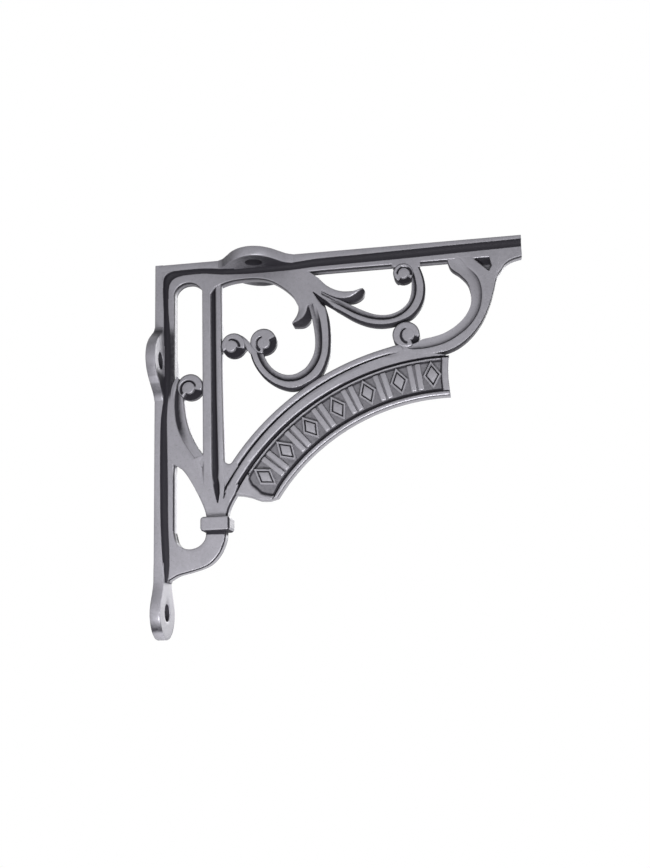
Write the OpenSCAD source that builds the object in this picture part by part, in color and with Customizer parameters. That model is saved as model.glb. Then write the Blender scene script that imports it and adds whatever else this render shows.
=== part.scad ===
// Cast iron shelf bracket with scrolled web and a curved panel.
// X runs out from the wall, Z up, and Y across the thickness; the wall and shelf faces meet at the origin.

/* [Overall] */
// Length of the shelf arm, from the wall face to its tip
projection = 150; // [135:1:170]
// Height from the shelf face to the foot of the tab
height = 153; // [140:1:172]
// Width of the wall and shelf plates
plate_w = 11; // [10:0.5:13]
// Thickness of the web between its two faces
web_t = 5.6; // [5:0.1:6.4]

/* [Plates] */
// Thickness of the wall plate
wall_t = 3.1; // [2.6:0.1:3.6]
// Thickness of the shelf plate at the wall
shelf_t = 3.5; // [3.1:0.1:3.7]
// Thickness of the shelf plate at its tip
tip_t = 1.9; // [1.6:0.1:2.6]
// Depth of the web strip under the shelf face and out from the wall face
rib_reach = 7.3; // [7:0.1:7.8]
// Radius of the cast cove between plates and web
cove_r = 1.6; // [1.2:0.1:1.8]

/* [Lugs and tab] */
// Distance of both lugs from the top rear corner
lug_place = 42.5; // [40:0.5:44]
// Thickness of the lugs
lug_t = 3.9; // [3.8:0.1:4.3]
// Radius of a lug's round ear
ear_r = 8.8; // [8:0.1:9.6]
// Distance of a lug hole from the mid-plane
lug_hole_y = 9.2; // [8.8:0.1:10]
// Diameter of the lug holes
lug_hole_d = 6.8; // [5:0.1:7.2]
// Thickness of the tab at the foot
tab_t = 4.6; // [3.8:0.1:5.4]
// Radius of the tab's round end
tab_r = 10.6; // [9.5:0.1:11.5]
// Diameter of the tab's hole
tab_hole_d = 7.2; // [5:0.1:8]

/* [Relief] */
// Thickness across the sunk coves of the scrolls
core_t = 3.6; // [3:0.1:4.2]
// Thickness across the border beads
bead_t = 4.6; // [4.3:0.1:4.9]
// Thickness across the volute eyes
eye_t = 8.4; // [7:0.1:9.4]
// Thickness across the curled spur tips
curl_t = 8.8; // [7:0.1:9.4]
// Thickness across the collar
collar_t = 9.6; // [8:0.1:10]
// Thickness across the raised motifs of the panel
motif_t = 5.2; // [4.6:0.1:5.6]
// Number of motifs along the panel
motif_count = 13; // [9:2:15]

/* [Hidden] */
$fn = 48;
// Steps drawn between two points of a curve
curve_steps = 5;
// Steps drawn along a volute's ring and along the arch
ring_steps = 24;
arch_steps = 36;
half_plate = plate_w / 2;
rib_z = rib_reach;
rib_x = rib_reach;
// Length of a lug along its plate, from the fillets tangent to plate and ear
lug_fillet_r = 5.3;
lug_half = sqrt(pow(ear_r + lug_fillet_r, 2) - pow(half_plate + lug_fillet_r - lug_hole_y, 2));
lug_start = lug_place - lug_half;
lug_end = lug_place + lug_half;
tab_z = height - tab_r;
tab_neck_share = 0.80;
foot_end_share = 0.853;
// Share of the height at which the rib's lower edge lies, and the pattern starts
rib_root_share = 0.0477124;
tab_top = drop(tab_neck_share);
foot_end = drop(foot_end_share);
slope = atan((shelf_t - tip_t) / projection);
// Rounding of the collar's corners
collar_round = 1.4;

// Curves of the pattern, given as shares of the projection and of the height

post_left_share = 0.1327;
post_flat_share = 0.1520;
post_bead_share = 0.1660;
post_right_share = 0.1813;
funnel_top_share = 0.634;
collar_top_share = 0.6928;
collar_foot_share = 0.7307;
collar_left_share = 0.1233;
collar_right_share = 0.2020;
hub_top_share = 0.4533;

hub_side_shares = [[0.4667, 0.1359], [0.4667, 0.0837], [0.4547, 0.0641]];
neck_shares = [[0, 0], [0.07, 0.25], [0.42, 0.6], [0.78, 0.82], [1, 1]];
shoulder_angle = 24;
curl_share = 0.022;
main_outer_shares = [[0.4667, 0.1359], [0.4733, 0.1797], [0.4747, 0.2353], [0.468, 0.2843],
    [0.4467, 0.3288], [0.412, 0.3588], [0.3733, 0.3686], [0.3333, 0.3569], [0.2967, 0.3301],
    [0.2713, 0.2941], [0.26, 0.2582], [0.262, 0.232]];
main_ridge_shares = [[0.4427, 0.1359], [0.454, 0.183], [0.458, 0.2353], [0.4527, 0.281],
    [0.432, 0.3176], [0.4033, 0.3392], [0.3733, 0.3458], [0.3413, 0.3392], [0.3127, 0.3196],
    [0.292, 0.2928], [0.28, 0.2614], [0.2787, 0.232]];
main_inner_shares = [[0.422, 0.1359], [0.434, 0.1895], [0.4387, 0.2386], [0.4333, 0.2745],
    [0.4147, 0.3059], [0.392, 0.3216], [0.37, 0.3268], [0.3453, 0.3222], [0.3213, 0.3065],
    [0.304, 0.2824], [0.2953, 0.2614], [0.2907, 0.2353]];
bud_upper_shares = [[0.2667, 0.2418], [0.2553, 0.2261], [0.2427, 0.2131]];
bud_lower_shares = [[0.27, 0.2745], [0.2507, 0.2654], [0.2333, 0.2484]];
arm_outer_shares = [[0.4667, 0.1359], [0.5067, 0.1627], [0.5467, 0.1895], [0.5867, 0.2072],
    [0.6267, 0.2131], [0.6667, 0.2072], [0.7, 0.1863], [0.7227, 0.1556], [0.732, 0.1176],
    [0.7287, 0.0784], [0.7147, 0.0392]];
arm_ridge_shares = [[0.4667, 0.1235], [0.5067, 0.1464], [0.5467, 0.1712], [0.5867, 0.1889],
    [0.6267, 0.1961], [0.6627, 0.1908], [0.692, 0.1725], [0.7107, 0.1451], [0.7173, 0.1144],
    [0.7127, 0.0784], [0.7033, 0.0588]];
arm_inner_shares = [[0.4667, 0.1065], [0.5067, 0.1281], [0.54, 0.1477], [0.5733, 0.166],
    [0.6067, 0.1791], [0.64, 0.1817], [0.67, 0.1719], [0.692, 0.1529], [0.7013, 0.1275],
    [0.7013, 0.098], [0.6967, 0.0784]];
spur_right_upper_shares = [[0.4667, 0.0837], [0.49, 0.1013], [0.5167, 0.1105], [0.5467, 0.1124],
    [0.5707, 0.1092], [0.5747, 0.1163]];
spur_right_lower_shares = [[0.4667, 0.1065], [0.5067, 0.1281], [0.5267, 0.1333], [0.5487, 0.1314],
    [0.566, 0.1235], [0.5747, 0.1163]];
spur_down_left_shares = [[0.3947, 0.1359], [0.394, 0.1542], [0.3887, 0.1712], [0.3793, 0.1869]];
spur_down_right_shares = [[0.422, 0.1359], [0.42, 0.1536], [0.412, 0.1699], [0.3973, 0.183],
    [0.3793, 0.1869]];
tip_outer_shares = [[0.9453, 0.0392], [0.9413, 0.0732], [0.9307, 0.1013], [0.9213, 0.134],
    [0.908, 0.1732], [0.886, 0.217], [0.856, 0.2542], [0.822, 0.2804], [0.7867, 0.2941],
    [0.7467, 0.2987], [0.71, 0.2967], [0.6773, 0.285], [0.6547, 0.2627]];
tip_ridge_shares = [[0.8667, 0.0392], [0.876, 0.0752], [0.8853, 0.1111], [0.8853, 0.1503],
    [0.8733, 0.1908], [0.8487, 0.2255], [0.8153, 0.2523], [0.78, 0.2699], [0.7433, 0.2778],
    [0.71, 0.2765], [0.6853, 0.2654], [0.6707, 0.2516]];
tip_inner_shares = [[0.8013, 0.0392], [0.8107, 0.0673], [0.8333, 0.0869], [0.8527, 0.1111],
    [0.86, 0.1425], [0.8573, 0.1732], [0.8427, 0.2013], [0.8167, 0.2261], [0.7833, 0.2444],
    [0.75, 0.2529], [0.7187, 0.2549], [0.6967, 0.2516]];
tip_heel_shares = [[0.9347, 0.0915], [0.9427, 0.0778], [0.9567, 0.0634], [0.9753, 0.0562]];
// Depth of the heel's end below the rib
heel_end = 0.6;
heel_root_share = 0.93;
tip_dimple_shares = [[0.8773, 0.0536], [0.932, 0.0536], [0.9087, 0.0824]];
leaf_lens_shares = [[0.0707, 0.3399], [0.0753, 0.3791], [0.078, 0.415], [0.086, 0.4477],
    [0.1007, 0.4837], [0.1173, 0.5137], [0.1327, 0.5268]];
leaf_ridge_shares = [[0.066, 0.3268], [0.058, 0.3595], [0.0553, 0.3922], [0.0587, 0.4314],
    [0.0673, 0.4641], [0.0827, 0.4967], [0.104, 0.532], [0.1327, 0.5686]];
leaf_slot_shares = [[0.0467, 0.5451], [0.066, 0.5582], [0.082, 0.5778], [0.1007, 0.6078],
    [0.1147, 0.634]];
funnel_left_shares = [[0.1147, 0.634], [0.126, 0.6582], [0.1333, 0.6778], [0.1373, 0.6928]];
funnel_right_shares = [[0.2213, 0.634], [0.2107, 0.6497], [0.2, 0.6693], [0.1933, 0.6928]];
elbow_outer_shares = [[0.1893, 0.7307], [0.186, 0.7542], [0.172, 0.7863], [0.1507, 0.8098],
    [0.1267, 0.8222], [0.0933, 0.8314], [0.06, 0.8405], [0.0267, 0.8529]];
elbow_inner_shares = [[0.136, 0.7307], [0.1327, 0.749], [0.1173, 0.766], [0.0927, 0.7732],
    [0.0693, 0.7667], [0.054, 0.7471], [0.0487, 0.719]];
head_arch_shares = [[0.152, 0.098], [0.1613, 0.0745], [0.1867, 0.0575], [0.2333, 0.051],
    [0.2867, 0.0542], [0.3333, 0.0719], [0.3693, 0.1007], [0.3947, 0.1359]];
slot_left_shares = [[0.0487, 0.0915], [0.0573, 0.0641], [0.0867, 0.0503], [0.1173, 0.0627],
    [0.1327, 0.0954]];
panel_tail_shares = [[0.224, 0.6379], [0.25, 0.6418], [0.2767, 0.6503], [0.2973, 0.6595],
    [0.3133, 0.6608], [0.3253, 0.6516]];
field_tail_shares = [[0.2493, 0.6], [0.2553, 0.6163], [0.2733, 0.6327], [0.3067, 0.649]];
crotch_shares = [[0.18, 0.5327], [0.184, 0.5464], [0.1947, 0.5549], [0.2067, 0.551], [0.22, 0.5359]];

// Volutes: place of the ring's centre, place of the eye, ring radius, eye radius, ring's start and turn
main_volute = [[0.2973, 0.2307], [0.3, 0.2366], 0.0353, 0.0180, 182, -212];
bud_volute = [[0.2147, 0.2353], [0.2107, 0.2418], 0.0333, 0.0167, -8, 200];
arm_volute = [[0.684, 0.0712], [0.6833, 0.0745], 0.0273, 0.0147, 20, 190];
tip_volute = [[0.6833, 0.2418], [0.6913, 0.2412], 0.0360, 0.0167, 250, -215];
wall_volute = [[0.0913, 0.3418], [0.092, 0.3444], 0.0333, 0.0153, 190, -225];
// Width of a volute's ring at its start and end, as shares of the projection
ring_start_share = 0.0160;
ring_end_share = 0.0087;
// How far the sunk disc stays inside its ring, as a share of the projection
disc_inset_share = 0.0045;

// Arch: centre and radii of its concentric edges, as shares
arch_centre_share = [0.7833, 0.9464];
arch_aspect_share = 0.9804;
band_top_share = 0.7040;
band_bead_share = 0.6827;
band_foot_share = 0.6547;
panel_top_share = 0.6500;
field_top_share = 0.6447;
field_foot_share = 0.5593;
panel_foot_share = 0.5460;
band_end_angle = 88.7;
bead_end_angle = 100.5;
band_start_angle = 157;
crotch_angle = 148;
crotch_foot_share = 0.6050;
panel_top_angle = 151.2;
panel_foot_angle = 146.5;
field_top_angle = 145.4;
field_foot_angle = 146.5;
field_end_angle = 90.9;
motif_start_angle = 145.2;
motif_end_angle = 91.4;
lozenge_angle = 1.7;
heart_angle = 0.8;
reed_angle = 0.45;
twin_angle = 0.85;
motif_top_share = 0.6360;
motif_middle_share = 0.6020;
motif_foot_share = 0.5680;
heart_top_share = 0.6180;
heart_foot_share = 0.5860;
half_share = 0.5;

// Depth below the shelf face of a share of the height, so that the pattern hangs from the rib's edge
function drop(share) = rib_z + (share - rib_root_share) * (height - rib_z) / (1 - rib_root_share);
function at(share) = [share[0] * projection, -drop(share[1])];
function places(shares) = [for (share = shares) at(share)];
function flip(points) = [for (i = [len(points) - 1 : -1 : 0]) points[i]];

// A smooth curve through a list of points
function blend_at(a, b, c, d, t) =
    0.5 * (2 * b + (c - a) * t + (2 * a - 5 * b + 4 * c - d) * t * t + (3 * b - a - 3 * c + d) * t * t * t);
function smooth(p) = concat(
    [for (i = [0 : len(p) - 2], k = [0 : curve_steps - 1])
        blend_at(p[max(i - 1, 0)], p[i], p[i + 1], p[min(i + 2, len(p) - 1)], k / curve_steps)],
    [p[len(p) - 1]]);

// A point and an arc of the arch, at a radius share and an angle
function arch_at(r, a) =
    at([arch_centre_share[0] + r * cos(a), arch_centre_share[1] - r * arch_aspect_share * sin(a)]);
function arch_arc(r, a, b, steps) = [for (i = [0 : steps]) arch_at(r, a + (b - a) * i / steps)];

// A ring that follows the arch between two radii and two angles
function arch_ring(inner, outer, a, b, steps) =
    concat(arch_arc(outer, a, b, steps), flip(arch_arc(inner, a, b, steps)));

// A tapering ring round a volute's centre
function spiral_edge(centre, r, a, turn, taper, steps) =
    [for (i = [0 : steps])
        centre + (r - taper * i / steps) * [cos(a + turn * i / steps), sin(a + turn * i / steps)]];

module slab(t) {
    rotate([90, 0, 0]) linear_extrude(height = t, center = true) children();
}

module strip(edge, other) {
    polygon(concat(smooth(places(edge)), flip(smooth(places(other)))));
}

module ring(volute) {
    centre = at(volute[0]);
    a = volute[4];
    turn = volute[5];
    r = volute[2] * projection;
    taper = (ring_start_share - ring_end_share) * projection;
    width = ring_start_share * projection;
    polygon(concat(
        spiral_edge(centre, r, a, turn, 0, ring_steps),
        flip(spiral_edge(centre, r - width, a, turn, -taper, ring_steps))));
}

module disc(volute) {
    translate(at(volute[0])) circle(r = (volute[2] - disc_inset_share) * projection);
}

module eye_hole(volute) {
    translate(at(volute[1])) circle(r = volute[3] * projection);
}

module eye(volute) {
    color("dimgray") slab(eye_t) eye_hole(volute);
}

// Silhouettes of the ribs, which the pattern meets
module wall_rib_outline() {
    polygon([[0, 0], [rib_x, 0], [rib_x, -foot_end], [0, -foot_end]]);
}

module shelf_rib_outline() {
    polygon([[0, 0], [projection, 0], [projection, -rib_z], [0, -rib_z]]);
}

module tab_outline() {
    polygon([[0, -tab_top], [tab_t, -tab_top], [tab_t, -height], [0, -height]]);
}

module post_outline() {
    polygon([[post_left_share * projection, 0], [post_right_share * projection, 0],
        at([post_right_share, funnel_top_share]), at([post_left_share, funnel_top_share])]);
}

module below_funnel_top() {
    translate([0, -height]) square([projection, height - drop(funnel_top_share)]);
}

module band_main() {
    polygon(arch_ring(band_foot_share, band_bead_share, band_start_angle, band_end_angle, arch_steps));
}

module band_bead() {
    polygon(arch_ring(band_bead_share, band_top_share, band_start_angle, bead_end_angle, arch_steps));
}

module band_outline() {
    band_main();
    band_bead();
}

// Plates and lugs

function shelf_under(x) = -(shelf_t + (tip_t - shelf_t) * x / projection);

module shelf_plate_length(x0, x1) {
    slab(plate_w) polygon([[x0, 0], [x1, 0], [x1, shelf_under(x1)], [x0, shelf_under(x0)]]);
}

// A lug's outline: a pad across the plate with a round ear on each side
module lug_outline() {
    difference() {
        union() {
            polygon([[-lug_half, -half_plate], [-ear_r, -lug_hole_y],
                [ear_r, -lug_hole_y], [lug_half, -half_plate],
                [lug_half, half_plate], [ear_r, lug_hole_y],
                [-ear_r, lug_hole_y], [-lug_half, half_plate]]);
            for (side = [-1, 1]) translate([0, side * lug_hole_y]) circle(r = ear_r);
        }
        for (side = [-1, 1], end = [-1, 1])
            translate([end * lug_half, side * (half_plate + lug_fillet_r)]) circle(r = lug_fillet_r);
        for (side = [-1, 1]) translate([0, side * lug_hole_y]) circle(d = lug_hole_d);
    }
}

module wall_plate_upper() {
    color("slategray") translate([0, -half_plate, -lug_start]) cube([wall_t, plate_w, lug_start]);
}

module wall_plate_lower() {
    color("slategray") translate([0, -half_plate, -tab_top]) cube([wall_t, plate_w, tab_top - lug_end]);
}

module wall_lug() {
    color("lightslategray") translate([0, 0, -lug_place]) rotate([0, 90, 0])
        linear_extrude(height = lug_t) lug_outline();
}

module foot_tab() {
    shoulder = [tab_r * cos(shoulder_angle), -tab_z + tab_r * sin(shoulder_angle)];
    neck = [half_plate, -tab_top];
    side = smooth([for (share = neck_shares)
        [neck[0] + share[0] * (shoulder[0] - neck[0]), neck[1] + share[1] * (shoulder[1] - neck[1])]]);
    color("lightslategray") rotate([90, 0, 90]) linear_extrude(height = tab_t) difference() {
        union() {
            polygon(concat([[0, -tab_z]], flip(side), [for (p = side) [-p[0], p[1]]]));
            translate([0, -tab_z]) circle(r = tab_r);
        }
        translate([0, -tab_z]) circle(d = tab_hole_d);
    }
}

module shelf_plate_rear() {
    color("slategray") shelf_plate_length(wall_t, lug_start);
}

module shelf_plate_front() {
    color("slategray") shelf_plate_length(lug_end, projection);
}

module shelf_lug() {
    color("lightslategray") translate([lug_place, 0, -lug_t]) linear_extrude(height = lug_t) lug_outline();
}

// Ribs with the cast coves at their roots

module cove_profile() {
    half_web = web_t / 2;
    difference() {
        translate([-half_web - cove_r, -cove_r]) square([web_t + 2 * cove_r, cove_r]);
        for (side = [-1, 1]) translate([side * (half_web + cove_r), -cove_r]) circle(r = cove_r);
    }
}

module wall_rib() {
    color("gray") difference() {
        union() {
            translate([wall_t, -web_t / 2, -foot_end])
                cube([rib_x - wall_t, web_t, foot_end - rib_z]);
            translate([wall_t, 0, -tab_top]) rotate([0, 0, 90])
                linear_extrude(height = tab_top - rib_z) cove_profile();
        }
        translate([0, -plate_w, -lug_end]) cube([lug_t, 2 * plate_w, 2 * lug_half]);
        translate([0, -plate_w, -height]) cube([tab_t, 2 * plate_w, height - tab_top]);
    }
}

module shelf_rib() {
    color("gray") difference() {
        union() {
            slab(web_t) polygon([[wall_t, shelf_under(wall_t)], [projection, shelf_under(projection)],
                [projection, -rib_z], [wall_t, -rib_z]]);
            intersection() {
                translate([0, 0, -shelf_t]) rotate([0, -slope, 0]) rotate([90, 0, 90])
                    linear_extrude(height = projection + plate_w) cove_profile();
                translate([wall_t, -plate_w, -rib_z]) cube([projection - wall_t, 2 * plate_w, rib_z]);
            }
        }
        translate([lug_start, -plate_w, -lug_t]) cube([2 * lug_half, 2 * plate_w, lug_t]);
    }
}

// Corner, spandrel and post

module corner_web() {
    color("gray") slab(web_t) difference() {
        polygon(concat([[rib_x, -rib_z], [post_left_share * projection, -rib_z]],
            flip(smooth(places(slot_left_shares)))));
        wall_rib_outline();
        post_outline();
        shelf_rib_outline();
    }
}

module spandrel_outline() {
    difference() {
        polygon(concat(smooth(places(head_arch_shares)),
            places(hub_side_shares),
            [[hub_top_share * projection, -rib_z], [post_flat_share * projection, -rib_z]]));
        shelf_rib_outline();
    }
}

module spandrel() {
    color("gray") slab(web_t) spandrel_outline();
}

// An upright of the post between two shares of the projection
module post_band(left_share, right_share) {
    polygon([[left_share * projection, -rib_z], [right_share * projection, -rib_z],
        at([right_share, funnel_top_share]), at([left_share, funnel_top_share])]);
}

module post() {
    color("gray") union() {
        slab(web_t) post_band(post_left_share, post_flat_share);
        slab(core_t) difference() {
            post_band(post_flat_share, post_right_share);
            spandrel_outline();
        }
        slab(bead_t) difference() {
            post_band(post_bead_share, post_right_share);
            spandrel_outline();
        }
    }
}

// Spurs and scrolls

module arm_outline() {
    strip(arm_outer_shares, arm_inner_shares);
    disc(arm_volute);
}

module main_outline() {
    strip(main_outer_shares, main_inner_shares);
    disc(main_volute);
}

module spur_down() {
    color("dimgray") union() {
        slab(web_t) strip(spur_down_left_shares, spur_down_right_shares);
        slab(curl_t) intersection() {
            strip(spur_down_left_shares, spur_down_right_shares);
            translate(at(spur_down_left_shares[3])) circle(r = curl_share * projection);
        }
    }
}

module spur_right() {
    color("dimgray") union() {
        slab(web_t) difference() {
            strip(spur_right_upper_shares, spur_right_lower_shares);
            arm_outline();
        }
        slab(curl_t) intersection() {
            strip(spur_right_upper_shares, spur_right_lower_shares);
            translate(at(spur_right_upper_shares[5])) circle(r = curl_share * projection);
        }
    }
}

module main_scroll() {
    color("gray") union() {
        slab(core_t) difference() {
            main_outline();
            eye_hole(main_volute);
            band_outline();
        }
        slab(web_t) difference() {
            union() {
                strip(main_outer_shares, main_ridge_shares);
                ring(main_volute);
            }
            eye_hole(main_volute);
            band_outline();
        }
    }
}

module bud_scroll() {
    color("gray") union() {
        slab(core_t) difference() {
            union() {
                disc(bud_volute);
                strip(bud_upper_shares, bud_lower_shares);
            }
            eye_hole(bud_volute);
            post_outline();
            main_outline();
        }
        slab(web_t) difference() {
            ring(bud_volute);
            eye_hole(bud_volute);
            post_outline();
            main_outline();
        }
    }
}

module arm_scroll() {
    color("gray") union() {
        slab(core_t) difference() {
            arm_outline();
            eye_hole(arm_volute);
            shelf_rib_outline();
        }
        slab(web_t) difference() {
            union() {
                strip(arm_outer_shares, arm_ridge_shares);
                ring(arm_volute);
            }
            eye_hole(arm_volute);
            shelf_rib_outline();
        }
    }
}

module tip_heel() {
    heel = concat(places(tip_heel_shares), [[projection, -rib_z - heel_end]]);
    polygon(concat(smooth(heel), [[projection, -rib_z], [heel_root_share * projection, -rib_z]]));
}

module tip_outline() {
    strip(tip_outer_shares, tip_inner_shares);
    disc(tip_volute);
    tip_heel();
}

module tip_scroll() {
    color("gray") union() {
        slab(core_t) difference() {
            tip_outline();
            eye_hole(tip_volute);
            shelf_rib_outline();
            band_outline();
            arm_outline();
        }
        slab(web_t) difference() {
            union() {
                strip(tip_outer_shares, tip_ridge_shares);
                ring(tip_volute);
                tip_heel();
            }
            polygon(places(tip_dimple_shares));
            eye_hole(tip_volute);
            shelf_rib_outline();
            band_outline();
            arm_outline();
        }
    }
}

// The leaf between the wall rib and one of its own edges
module leaf(edge) {
    polygon(concat([[wall_t, -drop(edge[0][1])]], smooth(places(edge)),
        [at([post_flat_share, funnel_top_share])],
        flip(smooth(places(leaf_slot_shares))), [[wall_t, -drop(leaf_slot_shares[0][1])]]));
}

module wall_scroll() {
    color("gray") union() {
        slab(core_t) difference() {
            union() {
                leaf(leaf_lens_shares);
                disc(wall_volute);
            }
            eye_hole(wall_volute);
            wall_rib_outline();
            post_outline();
        }
        slab(web_t) difference() {
            union() {
                leaf(leaf_ridge_shares);
                ring(wall_volute);
            }
            eye_hole(wall_volute);
            wall_rib_outline();
            post_outline();
        }
    }
}

module main_eye() {
    eye(main_volute);
}

module bud_eye() {
    eye(bud_volute);
}

module arm_eye() {
    eye(arm_volute);
}

module tip_eye() {
    eye(tip_volute);
}

module wall_eye() {
    eye(wall_volute);
}

// Arch band and panel

module arch_band() {
    color("gray") union() {
        slab(bead_t) difference() {
            union() {
                band_bead();
                polygon(concat(smooth(places(crotch_shares)),
                    [arch_at(band_bead_share, crotch_angle), at([post_right_share, crotch_foot_share])]));
            }
            post_outline();
            below_funnel_top();
            band_main();
        }
        slab(web_t) difference() {
            band_main();
            post_outline();
            below_funnel_top();
        }
    }
}

module panel_outline() {
    polygon(concat(
        arch_arc(band_foot_share, panel_top_angle, band_end_angle, arch_steps),
        flip(arch_arc(panel_foot_share, panel_foot_angle, band_end_angle, arch_steps)),
        flip(smooth(places(panel_tail_shares)))));
}

module panel_groove() {
    polygon(arch_ring(panel_top_share, band_top_share, band_start_angle, band_end_angle, arch_steps));
}

module panel_field() {
    polygon(concat(
        arch_arc(field_top_share, field_top_angle, field_end_angle, arch_steps),
        flip(arch_arc(field_foot_share, field_foot_angle, field_end_angle, arch_steps)),
        flip(smooth(places(field_tail_shares)))));
}

module arch_panel() {
    color("slategray") union() {
        slab(core_t) difference() {
            panel_outline();
            funnel_side();
        }
        slab(web_t) difference() {
            panel_outline();
            panel_field();
            panel_groove();
            funnel_side();
        }
    }
}

module funnel_side() {
    polygon(concat([at([post_flat_share, funnel_top_share])], smooth(places(funnel_right_shares)),
        [at([post_flat_share, collar_top_share])]));
}

// A raised lozenge with a sunk heart, at an angle of the arch
module lozenge(a) {
    difference() {
        polygon([arch_at(motif_top_share, a), arch_at(motif_middle_share, a - lozenge_angle),
            arch_at(motif_foot_share, a), arch_at(motif_middle_share, a + lozenge_angle)]);
        polygon([arch_at(heart_top_share, a), arch_at(motif_middle_share, a - heart_angle),
            arch_at(heart_foot_share, a), arch_at(motif_middle_share, a + heart_angle)]);
    }
}

// A raised upright reed, at an angle of the arch
module reed(a) {
    polygon(arch_ring(motif_foot_share, motif_top_share, a - reed_angle, a + reed_angle, 1));
}

module panel_motifs() {
    step = (motif_end_angle - motif_start_angle) / motif_count;
    lift = (motif_t - core_t) / 2;
    color("silver") for (side = [-1, 1], i = [0 : motif_count - 1])
        translate([0, side * (core_t + lift) / 2, 0]) slab(lift)
            if (i % 2 == 0) lozenge(motif_start_angle + step * (i + half_share));
            else for (twin = [-1, 1]) reed(motif_start_angle + step * (i + half_share) + twin * twin_angle);
}

// Funnel, collar and elbow

module funnel() {
    color("gray") slab(web_t)
        polygon(concat(smooth(places(funnel_left_shares)), flip(smooth(places(funnel_right_shares)))));
}

module collar() {
    left = collar_left_share * projection;
    right = collar_right_share * projection;
    top = drop(collar_top_share);
    foot = drop(collar_foot_share);
    color("lightslategray") slab(collar_t) union() {
        translate([left + collar_round, -foot]) square([right - left - 2 * collar_round, foot - top]);
        translate([left, -foot + collar_round]) square([right - left, foot - top - 2 * collar_round]);
        for (x = [left + collar_round, right - collar_round], z = [top + collar_round, foot - collar_round])
            translate([x, -z]) circle(r = collar_round);
    }
}

module foot_elbow() {
    color("gray") slab(web_t) difference() {
        polygon(concat(smooth(places(elbow_outer_shares)), flip(smooth(places(elbow_inner_shares)))));
        wall_rib_outline();
        tab_outline();
    }
}

// Choice of the piece that is drawn
wall_plate_upper();
wall_lug();
wall_plate_lower();
foot_tab();
shelf_plate_rear();
shelf_lug();
shelf_plate_front();
wall_rib();
shelf_rib();
corner_web();
spandrel();
post();
spur_down();
spur_right();
main_scroll();
main_eye();
bud_scroll();
bud_eye();
arm_scroll();
arm_eye();
tip_scroll();
tip_eye();
wall_scroll();
wall_eye();
arch_band();
arch_panel();
panel_motifs();
funnel();
collar();
foot_elbow();
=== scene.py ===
# %% [markdown]
# A cast iron shelf bracket, dressed over its CAD frame.
# The real bracket is poured in one go and then tumbled, so its raised faces shine and its hollows stay dark. Shade
# under and beside raised parts is painted into the colour too.
# Every member of the casting is its own piece here, and each one stands in for one CAD node.

# %% Load the frame
import math

import bmesh
import bpy
from mathutils import Matrix, Vector


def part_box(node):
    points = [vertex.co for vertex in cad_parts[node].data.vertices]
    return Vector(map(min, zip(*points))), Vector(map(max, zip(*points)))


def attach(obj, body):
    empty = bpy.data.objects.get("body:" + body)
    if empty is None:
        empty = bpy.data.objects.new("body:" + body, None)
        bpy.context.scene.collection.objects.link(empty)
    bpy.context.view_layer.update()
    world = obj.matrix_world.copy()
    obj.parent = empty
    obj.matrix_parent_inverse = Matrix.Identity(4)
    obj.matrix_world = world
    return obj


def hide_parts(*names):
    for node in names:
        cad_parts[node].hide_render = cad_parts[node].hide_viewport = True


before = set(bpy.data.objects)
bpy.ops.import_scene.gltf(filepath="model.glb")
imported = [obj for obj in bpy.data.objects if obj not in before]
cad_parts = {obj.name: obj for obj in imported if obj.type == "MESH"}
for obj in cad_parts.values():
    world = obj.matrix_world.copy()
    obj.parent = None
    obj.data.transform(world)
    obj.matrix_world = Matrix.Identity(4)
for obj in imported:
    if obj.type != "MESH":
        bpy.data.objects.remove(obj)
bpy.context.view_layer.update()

scene = bpy.context.scene
print("CAD nodes:", len(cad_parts))

# %% [markdown]
# Shapes are drawn in millimetres, and MM scales them when they become vertices.
# Some measures come back in many places, so they have names.

# %% Measures
MM = 0.001
MERGE = 2e-6  # vertices closer than this become one
FACE = 2.8  # from the middle of the web to its face
BORDER = 0.3  # anything lower belongs to the border of a grid, not to its face
FLOOR = 0.9  # no groove is cut below this height
HOLE = 3.4  # radius of a screw hole
LUG, EAR, TAB = 42.5, 9.2, 142.5  # lug and tab holes from the corner, and an ear's hole from the middle
ARCH = (117.5, -144.8)  # centre of the arch

# %% [markdown]
# The camera looks up at the bracket from below its middle, a little from the right.
# Its place was worked out from points of the bracket in the photograph, so it is not guessed by eye.

# %% Camera
yaw, pitch, roll = 0.14, 0.223, -0.031
stand = Vector((0.125145, -0.402781, -0.167094))
focal_px, picture_px, sensor_mm = 1052.006, 868, 36
ahead = Vector((-math.sin(yaw) * math.cos(pitch), math.cos(yaw) * math.cos(pitch), math.sin(pitch)))
level = Vector((math.cos(yaw), math.sin(yaw), 0))
aside = math.cos(roll) * level + math.sin(roll) * level.cross(ahead)
upright = aside.cross(ahead)

camera = bpy.data.objects.new("camera", bpy.data.cameras.new("camera"))
scene.collection.objects.link(camera)
camera.matrix_world = Matrix.Translation(stand) @ Matrix((aside, upright, -ahead)).transposed().to_4x4()
camera.data.sensor_width = sensor_mm
camera.data.lens = focal_px / picture_px * sensor_mm
camera.data.clip_start = 0.01
scene.camera = camera
scene.view_settings.view_transform = "Standard"
print("lens:", round(camera.data.lens, 2), "mm")

# %% [markdown]
# Most members of the casting are strips that bend between two or three edge lines.
# Those lines are drawn as a few points, out from the wall and down from the shelf, with a smooth curve through them.

# %% Smooth lines through points
def ease(value):
    value = min(max(value, 0), 1)
    return value * value * (3 - 2 * value)


def mix(a, b, share):
    return a + (b - a) * share


def between(value, stops):
    """Straight steps from one stop to the next. Each stop is a value and its result."""
    for (a, low), (b, high) in zip(stops, stops[1:]):
        if value <= b:
            return mix(low, high, min(max((value - a) / (b - a), 0), 1))
    return stops[-1][1]


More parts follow.
